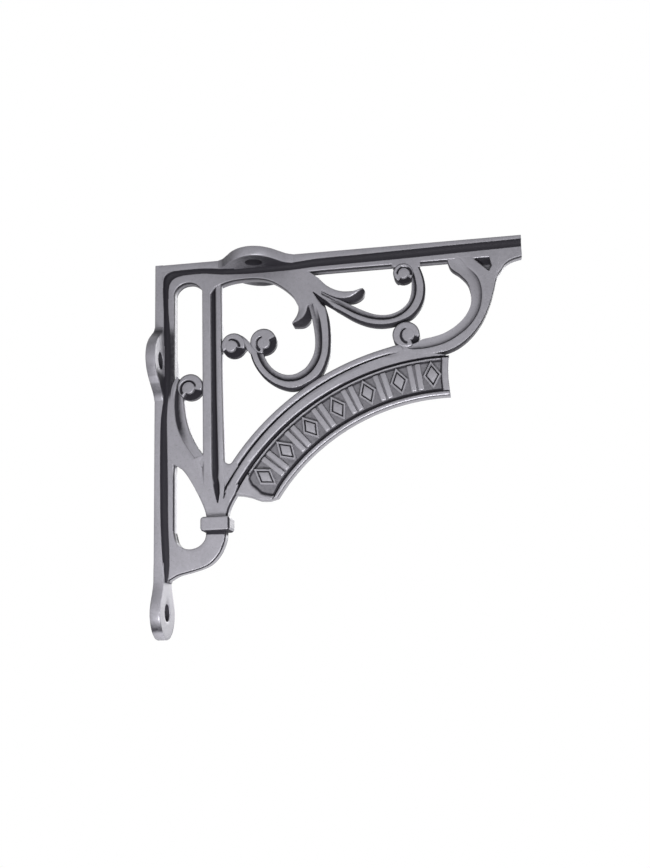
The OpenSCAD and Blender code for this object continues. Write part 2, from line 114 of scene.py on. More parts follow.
def line(points, steps=8):
    p = [Vector((x, -down)) for x, down in points]
    made = []
    for i in range(len(p) - 1):
        a, b, c, d = p[max(i - 1, 0)], p[i], p[i + 1], p[min(i + 2, len(p) - 1)]
        for k in range(steps):
            t = k / steps
            made.append(0.5 * (2 * b + (c - a) * t + (2 * a - 5 * b + 4 * c - d) * t * t
                               + (3 * b - a - 3 * c + d) * t ** 3))
    return made + [p[-1]]


def lines(*rails, steps=8):
    return [line(rail, steps) for rail in rails]


def arc(radius, start, end, steps):
    angles = [math.radians(mix(start, end, i / steps)) for i in range(steps + 1)]
    return [Vector(ARCH) + radius * Vector((math.cos(a), math.sin(a))) for a in angles]


# %% [markdown]
# A strip starts as a flat grid. Each row of the grid follows the edge lines.
# Its height above the middle of the web comes from a cross-section.
# The grid is then mirrored to the far side, which closes it, because its border lies on the middle plane.
# Each vertex also keeps a darkness: the dark skin of the hollows, and painted shade where a part looks down or lies
# under another. The finish reads that value to darken the colour there.

# %% Bend a grid into a strip
def tone_layer(bm):
    return bm.verts.layers.float.get("hollow_and_shade") or bm.verts.layers.float.new("hollow_and_shade")


def grid(bm, columns, rows):
    """The vertices of a flat grid, each with the numbers of its column and row."""
    made = bmesh.ops.create_grid(bm, x_segments=columns, y_segments=rows, size=0.5)["verts"]
    return [(v, round((v.co.x + 0.5) * columns), round((v.co.y + 0.5) * rows)) for v in made]


def shell(bm, columns, rows, surface):
    tone = tone_layer(bm)
    made = {}
    for v, i, j in grid(bm, columns, rows):
        x, z, height, dark = surface(i, j)
        v.co = Vector((x, -height, z)) * MM
        v[tone] = dark
        made.update(dict.fromkeys((v, *v.link_edges, *v.link_faces)))
    bmesh.ops.mirror(bm, geom=list(made), axis="Y", merge_dist=1e-6)


def groove(x, z, path):
    """How deep and how dark a tapering groove is at a point. The path holds points, widths and depths."""
    deepest, dark = 0, 0
    p = Vector((x, z))
    for (ax, az, aw, ad), (bx, bz, bw, bd) in zip(path, path[1:]):
        a, b = Vector((ax, -az)), Vector((bx, -bz))
        t = min(max((p - a).dot(b - a) / (b - a).length_squared, 0), 1)
        reach = (p - a.lerp(b, t)).length / (mix(aw, bw, t) / 2)
        deepest = max(deepest, mix(ad, bd, t) * ease(1.3 * (1 - reach)))
        dark = max(dark, ease(1.6 * (1.15 - reach)))
    return deepest, dark


def as_drawn(x, z, s, t, height, dark):
    """A shape function gets a point, with its place across (s) and along (t), and may change height and dark."""
    return height, dark


def strip(bm, rails, section, flat=lambda t: 1, shape=as_drawn, plain=FACE, over=0):
    """A strip along two or three rails. Each row of the section is share, mm, height and darkness.
    Where flat(t) is 0, the face lies at the plain height, and at 1 it has its full relief.
    Where two strips share a face, one lies a few thousandths of a millimetre over the other."""
    last = len(rails[0]) - 1

    def surface(i, j):
        n = min(max(i - 1, 0), last)
        share, mm, height, dark = section[j]
        part = 1 if share > 1 or (share == 1 and mm >= 0 and len(rails) > 2) else 0
        a, b = rails[part][n], rails[part + 1][n]
        s = share - part + mm / max((b - a).length, 0.4)
        s = min(max(s, 0), 1)
        p = a.lerp(b, s)
        k = flat(n / last)
        if height > BORDER and 0.04 < share + s < len(rails) - 1.04:
            height, dark = mix(plain, height, k), dark * k
        height, dark = shape(p.x, p.y, part + s, n / last, height, dark)
        if i == 0 or i == last + 2:
            height = 0
        return p.x, p.y, max(height + over * (height > BORDER), 0), dark

    shell(bm, last + 2, len(section) - 1, surface)


# %% [markdown]
# The tumbling stones reach a face, but not the side walls of the openings.
# Each wall keeps its dark skin next to the front rim. Where it looks down, painted shade makes it darker still.
# A piece gets these walls from its normals when it is finished, so no wall has to be drawn by hand.

# %% Finish a piece
pieces = []


def darken_walls(bm, amount):
    """Darken each side wall, most of all near the front rim, and add painted shade where the wall looks down."""
    tone = bm.verts.layers.float["hollow_and_shade"]
    bm.normal_update()
    for v in bm.verts:
        front = v.co.y / MM
        if abs(front) < 2.25 and abs(v.normal.y) < 0.5:
            near = ease((0.2 - front) / 2)
            # down adds painted shade to walls that face down.
            down = max(-v.normal.z, 0)
            v[tone] = amount * mix(0.16 + 0.3 * down, 0.66 + 0.34 * down, near)


def merge(bm):
    bmesh.ops.remove_doubles(bm, verts=bm.verts, dist=MERGE)


def finish_piece(bm, node, crease=50, walls=1):
    """Turn the mesh into the piece that stands in for a node, and name it after the node."""
    merge(bm)
    bmesh.ops.recalc_face_normals(bm, faces=bm.faces)
    if walls:
        darken_walls(bm, walls)
    name = f"{node}_iron"
    mesh = bpy.data.meshes.new(name)
    open_edges = sum(len(e.link_faces) != 2 for e in bm.edges)
    bm.to_mesh(mesh)
    bm.free()
    mesh.shade_smooth()
    mesh.set_sharp_from_angle(angle=math.radians(crease))
    piece = bpy.data.objects.new(name, mesh)
    scene.collection.objects.link(piece)
    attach(piece, "root")
    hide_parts(node)
    pieces.append(piece)
    print(name, "faces:", len(mesh.polygons), "edges without two faces:", open_edges)
    return piece


# %% [markdown]
# Both plates are bars with rounded corners. They thicken smoothly towards the lugs and the foot.
# They meet in one rounded corner. The side of a bar is burnished. Its face beside the web is dark, with the dark skin
# there and painted shade from the web.

# %% Plates
# The rows with darkness 1 are the face beside the web: dark skin, and painted shade from the web.
plate = [(0, 0, 0, 0), (0, 0, 5.1, 0), (0, 0.12, 5.38, 0), (0, 0.4, 5.5, 0), (0.5, 0, 5.5, 0), (1, -0.55, 5.5, 0),
         (1, -0.2, 5.42, 0.5), (1, 0, 5.15, 1), (1, 0, 4.7, 1), (1, 0, 2.9, 1), (1, 0, 0, 1)]
wall_face = [(3.4, 0.01), (3.5, 8), (3.65, 14), (3.9, 20), (3.95, 27), (3.95, 35), (3.95, 48), (3.9, 57.5),
             (3.35, 62), (2.85, 66.5), (2.65, 75), (2.65, 90), (2.9, 107), (3.4, 117), (3.95, 125), (4.1, 131)]
shelf_face = [(0.4, 3.4), (8, 3.1), (14, 3), (20, 3.05), (25, 3.5), (29, 3.9), (40, 3.9), (52, 3.9),
              (58, 3.75), (64, 3.25), (70, 2.95), (85, 2.75), (100, 2.5), (125, 2.1), (150, 1.8)]


def bar(bm, face, back, shape=as_drawn):
    strip(bm, lines([back(q) for q in face], face), plate, shape=shape)


def under_shelf_bar(x, z, s, t, height, dark):
    """In the corner both bars share a side, so the wall's bar lies a little under the shelf's."""
    return height - 0.02 * (z > -3.6 and height > 5), dark


bm = bmesh.new()
bar(bm, wall_face[:6], lambda q: (0, q[1]), under_shelf_bar)
finish_piece(bm, "wall_plate_upper", walls=0)

bm = bmesh.new()
bar(bm, wall_face[6:15], lambda q: (0, q[1]))
finish_piece(bm, "wall_plate_lower", walls=0)

bm = bmesh.new()
bar(bm, [(1.6, 3.5)] + shelf_face[1:7], lambda q: (q[0], 0))
corner = [(3.5, 10), (3.55, 8), (3.95, 5.9), (4.9, 4.4), (6.5, 3.5), (8.5, 3.08), (10.5, 3)]
strip(bm, lines([(3.1, 10), (3.1, 8), (3.1, 5.9), (3.1, 3), (6.5, 2.7), (8.5, 2.6), (10.5, 2.6)], corner), plate)
finish_piece(bm, "shelf_plate_rear", walls=0)

bm = bmesh.new()
bar(bm, shelf_face[7:], lambda q: (q[0], 0))
finish_piece(bm, "shelf_plate_front", walls=0)

# %% [markdown]
# A lug is a pad across the plate with a round ear and a screw hole on each side.
# The foot tab has the same build with one hole.
# Each pad is bent from a grid that wraps twice. Its columns run round the hole.
# Its rows run out over the face, round the rim and back under.

# %% Pads with a hole
def reach(outline, angle):
    """How far a pad goes from the middle of its hole in one direction."""
    aim, best = Vector((math.cos(angle), math.sin(angle))), 0
    for a, b in zip(outline, outline[1:] + outline[:1]):
        side = b - a
        turn = aim.cross(side)
        if abs(turn) > 1e-9:
            far, along = a.cross(side) / turn, a.cross(aim) / turn
            if far > 0 and -1e-6 <= along <= 1 + 1e-6:
                best = max(best, far)
    return best


pad_section = [(0, 0, 0, 0.4), (0, 0, 1, -0.5), (0, 0.12, 1, -0.15), (0, 0.5, 1, 0), (0.2, 0, 1, 0), (0.4, 0, 1, 0),
               (0.6, 0, 1, 0), (0.8, 0, 1, 0), (1, -0.5, 1, 0), (1, -0.15, 1, -0.12), (1, 0, 1, -0.45), (1, 0, 0, 0.45),
               (1, -0.15, 0, 0.13), (1, -0.5, 0, 0), (0, 0.4, 0, 0), (0, 0.12, 0, 0.12), (0, 0, 0, 0.4)]


def pad(bm, outline, thick, place, dark):
    """Each row of the section is share, mm, front or back, and a depth from there.
    a and b are a point's place from the middle of the hole."""
    tone = tone_layer(bm)
    columns = 120
    for v, i, j in grid(bm, columns, len(pad_section) - 1):
        share, mm, front, depth = pad_section[j]
        angle = math.tau * (i % columns) / columns
        r = HOLE + share * (reach(outline, angle) - HOLE) + mm
        a, b = r * math.cos(angle), r * math.sin(angle)
        v.co = Vector(place(a, b, front * thick(a, b) + depth)) * MM
        v[tone] = dark(a, b, share, front)
    merge(bm)


def in_hole(a, b):
    return math.hypot(a, b) < HOLE + 0.05


bell = [(17, 3.68), (14.8, 3.2), (13.1, 1.7), (11.7, -0.2), (10.3, -2), (8.9, -3.9), (7.4, -5.5), (4.3, -7.75),
        (0, -8.8)]
ear = line(bell + [(-a, b) for a, b in reversed(bell[:-1])], 6)
ear = [Vector((17, -10.2))] + ear + [Vector((-17, -10.2))]


def lug_thick(a, b):
    return 3.94 - 0.4 * ease((abs(a) - 10) / 7)


# Painted shade on the wall lug: dark at the upper and lower ends of the ear, strongest where its face turns down at the
# lower end, and a dark hole wall.
def wall_lug_painted_shade(a, b, share, front):
    if share == 1:
        return between(a, [(-16, 0), (-13, 0.7), (-10, 0.45), (-7, 0.05), (1, 0.08), (4, 0.4), (7.6, 0.4),
                           (8.4, 0), (9.2, 0), (10.2, 0.5), (13, 0.6), (16, 0)])
    if in_hole(a, b):
        return 1
    return between(a, [(-14, 0.6), (-9, 0.1), (-6, 0.02), (2, 0.05), (4.5, 0.3), (7, 1), (8, 1)]) if front else 0.2


# Painted shade on the shelf lug: its face looks down and darkens towards the tip, with a darker hole wall and shade on
# the ear's side.
def shelf_lug_painted_shade(a, b, share, front):
    if share == 1:
        return between(a, [(-17, 0), (-13, 0.5), (-8, 0.4), (-5, 0.12), (5, 0.03), (7, 0.25), (9.5, 0.2), (11, 0)])
    if in_hole(a, b):
        return 1
    return between(a, [(-15, 0.35), (-8, 0.5), (-3, 0.66), (4, 0.75), (10, 1)]) if front else 0.2


def seat(t, side):
    """The ears and the plate between them share faces, so each ear is thinner by its own few thousandths."""
    return t + (0.012 if side > 0 else 0.006) * (1 - t / 2)


bm = bmesh.new()
for side in (-1, 1):
    pad(bm, ear, lug_thick, lambda a, b, t: (seat(t, side), side * (EAR + b), -LUG - a), wall_lug_painted_shade)
finish_piece(bm, "wall_lug", walls=0)

bm = bmesh.new()
for side in (-1, 1):
    pad(bm, ear, lug_thick, lambda a, b, t: (LUG + a, side * (EAR + b), -seat(t, side)), shelf_lug_painted_shade)
finish_piece(bm, "shelf_lug", walls=0)

neck = [(5.52, -19.5), (5.52, -15), (5.7, -12), (6.6, -9.2), (8.1, -6.2), (9.6, -3.2), (10.4, -0.4)]
tongue = line(neck, 5)
tongue += [10.5 * Vector((math.cos(a), -math.sin(a))) for a in (math.pi * k / 40 for k in range(2, 39))]
tongue += [Vector((-q.x, q.y)) for q in reversed(line(neck, 5))]


def tab_thick(a, b):
    return 4.15 - 0.25 * ease((b - 14) / 5)


# Painted shade and reflection on the tab: a dark band where its rounded rim turns down, the face darkening towards its
# top to carry on the plate's dark face, and a dark hole wall.
def tab_painted_shade(a, b, share, front):
    if share == 1 and not (front == 1 and b > 18 and abs(a) < 4.9):
        return between(b, [(-8.6, 0.03), (-6.9, 0.75), (-3.8, 0.4), (-2.4, 0.02), (20, 0.02)])
    if front and b > 13.5:
        return ease((b - 13.5) / 2)
    return in_hole(a, b)


bm = bmesh.new()
pad(bm, tongue, tab_thick, lambda a, b, t: (seat(t, -1), a, -TAB + b), tab_painted_shade)
finish_piece(bm, "foot_tab", walls=0)

# %% [markdown]
# The collar already has the right outline in the CAD frame. A copy of the node is merged into clean faces.
# Its edges are beveled, as a cast edge is never sharp.

# %% Collar
bm = bmesh.new()
bm.from_mesh(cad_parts["collar"].data)
merge(bm)
bmesh.ops.dissolve_limit(bm, angle_limit=0.02, verts=bm.verts, edges=bm.edges)
rim = [e for e in bm.edges if e.calc_face_angle(0) > 0.6]
bmesh.ops.bevel(bm, geom=rim, offset=0.9 * MM, offset_type="OFFSET", segments=4, profile=0.5,
                affect="EDGES", clamp_overlap=True, material=-1)
tone = tone_layer(bm)
collar_low, collar_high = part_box("collar")
for v in bm.verts:
    # Painted shade on the collar: a dark line down its front right corner, dark bands along its bottom and top edges,
    # and a slightly darker right face.
    corner_shade_line = v.co.x > collar_high.x - 0.75 * MM and abs(v.co.y) > collar_high.y - 0.75 * MM
    seam = v.co.z < collar_low.z + 0.45 * MM or v.co.z > collar_high.z - 0.2 * MM
    v[tone] = 1 if corner_shade_line or seam else 0.35 * (v.co.x > collar_high.x - 0.1 * MM)
collar = finish_piece(bm, "collar", walls=0)
normals = collar.modifiers.new("even normals", "WEIGHTED_NORMAL")
normals.keep_sharp = True

# %% [markdown]
# The web stands on the two plates. At its root the casting has a cove, a hollow quarter round.
# The tumbling never reaches it, so it stays dark.
# The cross-section starts high at the plate, falls through the cove and ends in the rounded edge of the web.

# %% Web strips along the plates
rib = [(0, 0, 0, 1), (0, 0, 4.3, 1), (0.12, 0, 3.75, 1), (0.3, 0, 3.3, 1), (0.5, 0, 3.05, 1), (0.7, 0, 2.92, 1),
       (0.88, 0, 2.85, 1), (1, 0, 2.82, 0.85), (1, 0.4, 2.8, 0.05), (1.3, 0, 2.8, 0), (1.6, 0, 2.8, 0),
       (2, -0.45, 2.8, 0), (2, -0.22, 2.74, 0.05), (2, -0.08, 2.6, 0.3), (2, 0, 2.3, 0.8), (2, 0, 1.2, 0.4),
       (2, 0, 0, 0.2)]
wall_cove = [(4.7, 0), (4.7, 8), (4.75, 14), (4.9, 20), (5.4, 27), (5.7, 35), (5.7, 48), (4.8, 57.5), (4.45, 62),
             (4.35, 66.5), (4.5, 75), (4.8, 90), (5, 107), (5.4, 117), (5.5, 125), (4.9, 131)]
shelf_cove = [(0.4, 4.6), (8, 4.35), (14, 4), (20, 4), (25, 4.7), (29, 5.2), (40, 5.75), (52, 5.75),
              (58, 5.6), (64, 5.25), (70, 5.1), (85, 4.95), (100, 4.8), (125, 4.3), (150, 3.8)]


def beside_lug(x, z, s, t, height, dark):
    """Painted shade from the ear darkens the narrow face beside the wall lug. The lower slot's edge is sunk a little
    and darkened with painted shade too.
    """
    if height > BORDER:
        dark = max(dark, 0.75 * ease((-z - 22) / 10) * ease((60 + z) / 6))
    if height > 2 and s > 1.86:
        slot = ease((-z - 85) / 4)
        height, dark = height - 0.25 * slot, max(dark, 0.95 * slot)
    return height, dark


bm = bmesh.new()
far = [(7.3, z) for x, z in wall_face[:14]] + [(6.9, 125), (5.1, 131)]
strip(bm, lines([(3, 3)] + wall_face[1:], [(4.9, 3)] + wall_cove[1:], [(7.3, 3)] + far[1:]), rib,
      shape=beside_lug)
finish_piece(bm, "wall_rib")

bm = bmesh.new()
low = [(x, 7.1 if x < 66 else 6.9) for x, z in shelf_face]
strip(bm, lines([(3, 3.4)] + shelf_face[1:], [(3, 4.6)] + shelf_cove[1:], [(3, 7.1)] + low[1:]), rib)
finish_piece(bm, "shelf_rib")

# %% [markdown]
# The top of the pattern is a smooth sheet with the scrolls growing out of it.
# A cleft is sunk between the two scrolls, where they part from the sheet.

# %% Spandrel and corner
web_edge = [(1, -0.7, 2.78, 0), (1, -0.4, 2.7, 0.03), (1, -0.15, 2.5, 0.12), (1, -0.03, 2.25, 0.35), (1, 0, 2, 0.55),
            (1, 0, 1, 0.5), (1, 0, 0, 0.4)]
web = [(0, 0, 0, 0.3)] + [(share, 0, FACE, 0) for share in (0, 0.15, 0.3, 0.45, 0.6, 0.75, 0.88)] + web_edge
fine_web = [(0, 0, 0, 0.3)] + [(k / 48, 0, FACE, 0) for k in range(45)] + web_edge
cleft = [(65.6, 15.9, 0.4, 0.4), (67.6, 18.3, 1.7, 1.5), (70, 20.9, 3, 2.1), (72.6, 23.3, 2.6, 1.6),
         (76, 25.8, 1, 0.5)]


def carved(*paths):
    """A shape function that cuts grooves along the paths."""
    def shape(x, z, s, t, height, dark):
        for path in paths:
            deep, black = groove(x, z, path)
            if height > BORDER:
                height, dark = max(height - deep, FLOOR), max(dark, black)
        return height, dark
    return shape


crest = [(18.4, 6.4), (21.6, 6.4), (27, 6.4), (33, 6.4), (39, 6.4), (45, 6.4), (50, 6.4), (55, 6.4), (59, 6.4),
         (62, 6.5), (64.2, 7.3), (66.4, 8.9), (68.5, 10.6)]
hem = [(21.2, 15.5), (22.9, 13.2), (25.2, 10.3), (30, 8.3), (36, 7.6), (42, 7.8), (47.5, 9.1), (52.5, 12.2),
       (56.8, 16.4), (59.3, 20.8), (62.6, 21), (66, 20.8), (69.3, 19.6)]


def spandrel_shape(x, z, s, t, height, dark):
    """The lower edge stays flat where scrolls and spurs grow out of the sheet."""
    if t > 0.7 and height > BORDER:
        height, dark = mix(height, FACE, ease((t - 0.7) / 0.05)), 0
    return carved(cleft)(x, z, s, t, height, dark)


bm = bmesh.new()
strip(bm, lines(crest, hem, steps=12), fine_web, shape=spandrel_shape, over=0.012)
finish_piece(bm, "spandrel")

bm = bmesh.new()
strip(bm, lines([(3.5, 14), (3.6, 9), (4.1, 5.9), (6, 3.8), (9.5, 3.05), (14, 3), (18, 3), (21, 3.1)],
                [(4.9, 14), (5, 9.6), (5.8, 6.9), (7.7, 5.1), (10.6, 4.25), (14, 4), (18, 3.95), (21, 4.1)],
                [(7.1, 14), (7.5, 11.3), (8.6, 9.4), (10.4, 8), (12.9, 7.4), (15.6, 7.8), (18.3, 9.9), (20.9, 14.6)],
                steps=10), rib, over=0.006)
finish_piece(bm, "corner_web")

# %% [markdown]
# The post is one upright with three parts across: a flat band, a deep cove and a rounded bead.

# %% Post
post_section = [(0, 0, 0, 0.3), (0, 0, 2.2, 0.3), (0, 0.1, 2.5, 0.1), (0, 0.3, 2.72, 0), (0, 0.6, 2.8, 0),
                (0.2, 0, 2.8, 0), (0, 3, 2.8, 0), (0, 3.35, 2.72, 0.1), (0, 3.6, 2.4, 0.6), (0, 3.8, 1.9, 1),
                (0, 4.2, 1.35, 1), (0, 4.7, 1.25, 1), (0, 5.2, 1.4, 1), (1, -2.5, 1.8, 0.9), (1, -2.25, 2.15, 0.35),
                (1, -1.8, 2.35, 0.05), (1, -1.2, 2.42, 0), (1, -0.6, 2.35, 0), (1, -0.25, 2.15, 0.1),
                (1, -0.05, 1.8, 0.4), (1, 0, 1.2, 0.3), (1, 0, 0, 0.2)]
cove_end = [(23.9, 80, 2.3, 1.6), (24.2, 90, 2.4, 1.6), (24.7, 93.6, 3.1, 1.6), (25, 96.6, 2.4, 1.3),
            (25.2, 100.3, 0.7, 0.5)]
seam_start = [(36, 81.5, 0.8, 1.3), (31.6, 87.4, 0.9, 1.3), (29.5, 91.2, 1.2, 1.3), (28.4, 95, 1.3, 1.1),
              (27.6, 98.8, 0.5, 0.4)]


def post_foot(x, z, s, t, height, dark):
    """The cove closes to a point at the foot."""
    if z < -86 and height > BORDER:
        lift = ease((-z - 86) / 9)
        height, dark = mix(height, max(height, FACE), lift), dark * (1 - lift)
        deep, black = groove(x, z, cove_end)
        height, dark = max(height - deep, mix(1.2, FLOOR, lift)), max(dark, black)
    return height, dark


bm = bmesh.new()
strip(bm, lines([(19.2, 6.6), (19.2, 50), (19.2, 80), (19.4, 95.2)],
                [(27.2, 6.6), (27.2, 50), (27.7, 80), (27.9, 95.2)], steps=34),
      post_section, shape=post_foot, over=0.003)
finish_piece(bm, "post")

# %% [markdown]
# Each scroll has a rounded ridge along its outer edge and a cove along its inner edge.
# The relief grows out of the smooth sheet, so a factor blends it in along the first part of the strip.

# %% Scroll strips
# In scroll, the dark rows on the outer ridge's rounded edge are painted shade; the dark in the cove is its dark skin.
scroll = [(0, 0, 0, 0.5), (0, 0, 1.2, 0.6), (0, 0.05, 1.9, 1), (0, 0.35, 2.3, 1), (0, 0.7, 2.62, 0.7),
          (0, 0.95, 2.78, 0.05), (0.25, 0, 2.82, 0), (0.35, 0, 2.84, 0), (0.5, 0, 2.85, 0), (0.65, 0, 2.84, 0),
          (0.78, 0, 2.82, 0), (1, -0.4, 2.78, 0), (1, -0.15, 2.68, 0.25), (1, 0, 2.4, 0.8), (1, 0.12, 2.05, 1),
          (1, 0.35, 1.8, 0.95), (1.3, 0, 1.72, 0.72), (1.5, 0, 1.78, 0.55), (1.7, 0, 1.9, 0.42), (2, -0.35, 2.02, 0.3),
          (2, -0.12, 1.95, 0.4), (2, 0, 1.7, 0.8), (2, 0, 0.8, 0.5), (2, 0, 0, 0.5)]


def grow(start, end):
    return lambda t: ease((t - start) / (end - start))


main_outer = [(69.3, 17), (70, 20.8), (71.7, 27.5), (72.1, 36), (71.1, 43.9), (67.7, 51), (61.8, 54.9), (56, 56.4),
              (50, 54.6), (44.5, 50.5), (40.7, 45), (39.1, 39.5), (40.2, 35)]
main_ridge = [(65.9, 17), (66.4, 20.8), (68.1, 28), (68.7, 36), (67.9, 43), (64.8, 48.6), (60.5, 51.9), (56, 52.9),
              (51.2, 51.9), (46.9, 48.9), (43.8, 44.8), (42, 40), (41.8, 35.5)]
main_inner = [(63, 17), (63.4, 20.8), (65.1, 29), (65.8, 36.5), (65, 42), (62.2, 46.8), (58.8, 49.2), (55.5, 50),
              (51.8, 49.3), (48.2, 46.9), (45.6, 43.2), (44.3, 40), (43.6, 36)]
arm_outer = [(66, 17.8), (70, 20.8), (76, 24.9), (82, 29), (88, 31.7), (94, 32.6), (100, 31.7), (105.7, 29.3),
             (109.6, 24.3), (111.1, 18), (110.4, 12), (108.2, 6)]
arm_ridge = [(66, 16.2), (70, 18.9), (76, 22.4), (82, 26.2), (88, 28.9), (94, 30), (99.4, 29.2), (103.8, 26.4),
             (106.6, 22.2), (107.6, 17.5), (106.9, 12), (105.5, 9)]
arm_inner = [(66, 13.5), (70, 16.3), (76, 19.6), (81, 22.6), (86, 25.4), (91, 27.4), (96, 27.8), (100.5, 26.3),
             (103.8, 23.4), (105.3, 19.5), (105.7, 15.6), (106.1, 12.6)]
tip_outer = [(141.8, 6), (141.2, 11.2), (139.6, 15.5), (138.2, 20.5), (136.2, 26.5), (132.9, 33.2),
             (128.4, 38.9), (123.3, 42.9), (118, 45), (112, 45.7), (106.5, 45.4), (101.4, 43.4), (99, 39.6)]
tip_ridge = [(124.6, 5.8), (128.4, 10.7), (132.2, 15.6), (133.3, 21.8), (132, 28.6), (128.2, 34.6), (122.9, 38.9),
             (117.3, 41.7), (111.5, 43), (107.4, 43.3), (103.6, 42.9), (101.2, 41.6), (99.8, 39)]
tip_inner = [(120.2, 6), (121.6, 10.3), (125, 13.3), (127.9, 17), (129, 21.8), (128.6, 26.5), (126.4, 30.8),
             (122.5, 34.6), (117.5, 37.4), (112.5, 38.7), (108.9, 39.3), (106.2, 40.9), (103.4, 41.2), (101, 39.2)]

# %% [markdown]
# A volute is the curled end of a scroll. Its face winds in to a flat eye, with a thin groove between the turns.
# On the low side the face stops at the eye, and a hollow falls away from it, painted dark as shade. Painted shade also
# darkens the face towards its outer rim.
# The grid is bent round the eye here. Its first and last columns meet and are merged.

# %% Volutes
def volute(bm, centre, radius, eye, eye_radius, seam, hollow_and_shade):
    """seam and hollow hold a start and an end in degrees round the eye: 0 is away from the wall, and 90 is up."""
    columns, rows, top = 120, 34, 3.15
    middle, start = Vector((centre[0], -centre[1])), Vector((eye[0], -eye[1]))
    turn = 1 if seam[1] > seam[0] else -1

    def surface(i, j):
        degrees = 360 * (i % columns) / columns
        aim = Vector((math.cos(math.radians(degrees)), math.sin(math.radians(degrees))))
        across = (start - middle).dot(aim)
        rim = -across + math.sqrt(max(across ** 2 - (start - middle).length_squared + radius ** 2, 0.01))
        r = rim * (1 - (1 - min(j / (rows - 3), 1)) ** 1.25)
        point = start + aim * r
        along = (turn * (degrees - seam[0])) % 360 / abs(seam[1] - seam[0])
        low = (degrees - hollow_and_shade[0]) % 360
        span = hollow_and_shade[1] - hollow_and_shade[0]
        edge = max(1 - (rim - r) / 0.8, 0)
        # Painted shade: the face darkens towards its outer rim.
        height, dark = top - 0.6 * edge ** 2, 0.85 * edge ** 1.6
        if along <= 1:
            shown = ease(along / 0.15) * ease((1 - along) / 0.06)
            away = abs(r - eye_radius - mix(0.3, 1.3, along)) / mix(0.32, 0.55, along)
            cut = ease(1.5 - away) * shown
            height, dark = height - 0.75 * cut, max(dark, cut)
        if low <= span:
            # Painted shade: the hollow on the low side is dark.
            fall = ease(low / 14) * ease((span - low) / 14) * ease((r - 0.74 * eye_radius) / 0.4)
            height, dark = mix(height, 1.15, fall), max(dark, fall)
        if j > rows - 3:
            height, dark = min(height, (2.3, 1.2, 0)[j - rows + 2]), 0.8
        return point.x, point.y, height, dark

    shell(bm, columns, rows, surface)


def eye_dome(node, eye, radius):
    """A flat boss, turned by spinning half of its section once round."""
    bm = bmesh.new()
    height = 3.18
    section = [(0, height), (0.7, height), (0.88, height - 0.02), (0.95, height - 0.1), (0.99, height - 0.25),
               (1, height - 0.45), (1, 0)]
    verts = [bm.verts.new((radius * r * MM, -h * MM, 0)) for r, h in section]
    edges = [bm.edges.new(pair) for pair in zip(verts, verts[1:])]
    bmesh.ops.spin(bm, geom=verts + edges, cent=(0, 0, 0), axis=(0, 1, 0), angle=math.tau, steps=40, use_merge=True)
    merge(bm)
    bmesh.ops.mirror(bm, geom=bm.verts[:] + bm.edges[:] + bm.faces[:], axis="Y", merge_dist=1e-6)
    tone = bm.verts.layers.float.new("hollow_and_shade")
    for v in bm.verts:
        v[tone] = ease((height - 0.25 - abs(v.co.y) / MM) / 0.6)
    bmesh.ops.translate(bm, verts=bm.verts, vec=Vector((eye[0], 0, -eye[1])) * MM)
    finish_piece(bm, node, walls=0)


bm = bmesh.new()
strip(bm, lines(main_outer, main_ridge, main_inner, steps=14), scroll, flat=grow(0.07, 0.2), shape=carved(cleft),
      plain=2.806)
volute(bm, (44.6, 35.3), 5.3, (45, 36), 2.3, seam=(100, 245), hollow_and_shade=(-105, 34))
finish_piece(bm, "main_scroll", walls=1.5)
eye_dome("main_eye", (45, 36), 2.3)

bm = bmesh.new()
strip(bm, lines(arm_outer, arm_ridge, arm_inner, steps=14), scroll, flat=grow(0.08, 0.24), shape=carved(cleft),
      plain=2.803)
strip(bm, lines([(97.8, 6.1), (100, 6.1), (104, 6.1), (107, 6.1), (109.6, 6.1)],
                [(98.2, 7.3), (99.6, 8.2), (104, 8.6), (108, 9.6), (109.4, 8.2)]),
      [(0, 0, 0, 0), (0, 0, 2.806, 0), (0.3, 0, 2.806, 0), (0.7, 0, 2.806, 0), (1, -0.3, 2.79, 0), (1, 0, 2.5, 0.2),
       (1, 0, 0, 0.4)], over=0.006)
volute(bm, (102.6, 10.9), 4.1, (102.6, 11.3), 1.95, seam=(195, -20), hollow_and_shade=(-132, -30))
finish_piece(bm, "arm_scroll", walls=1.5)
eye_dome("arm_eye", (102.6, 11.3), 1.95)

bm = bmesh.new()
bud = [(0, 0, 0, 0.5), (0, 0.06, 1.9, 0.5), (0, 0.3, 2.5, 0.1), (0.3, 0, 2.78, 0), (0.5, 0, 2.85, 0), (0.7, 0, 2.78, 0),
       (1, -0.3, 2.5, 0.1), (1, -0.06, 1.9, 0.5), (1, 0, 0, 0.5)]
strip(bm, lines([(41.5, 37.5), (40, 36.2), (38.3, 34.4), (36.2, 32.4), (34, 31.2)],
                [(41.5, 42.5), (40, 41.2), (38, 38.6), (36.2, 35.6), (34, 33.4)]), bud)
volute(bm, (32.2, 36), 5, (31.1, 36.5), 2.3, seam=(115, -12), hollow_and_shade=(-155, -8))
finish_piece(bm, "bud_scroll", walls=1.5)
eye_dome("bud_eye", (31.1, 36.5), 2.3)

# %% [markdown]
# The scroll at the tip is broader, and a triangle is sunk into it where it meets the shelf.
# Its face blends into the flat web at both ends.

# %% Tip scroll
dimple = [Vector((131, -7.2)), Vector((139.8, -7.2)), Vector((136.6, -12.9))]


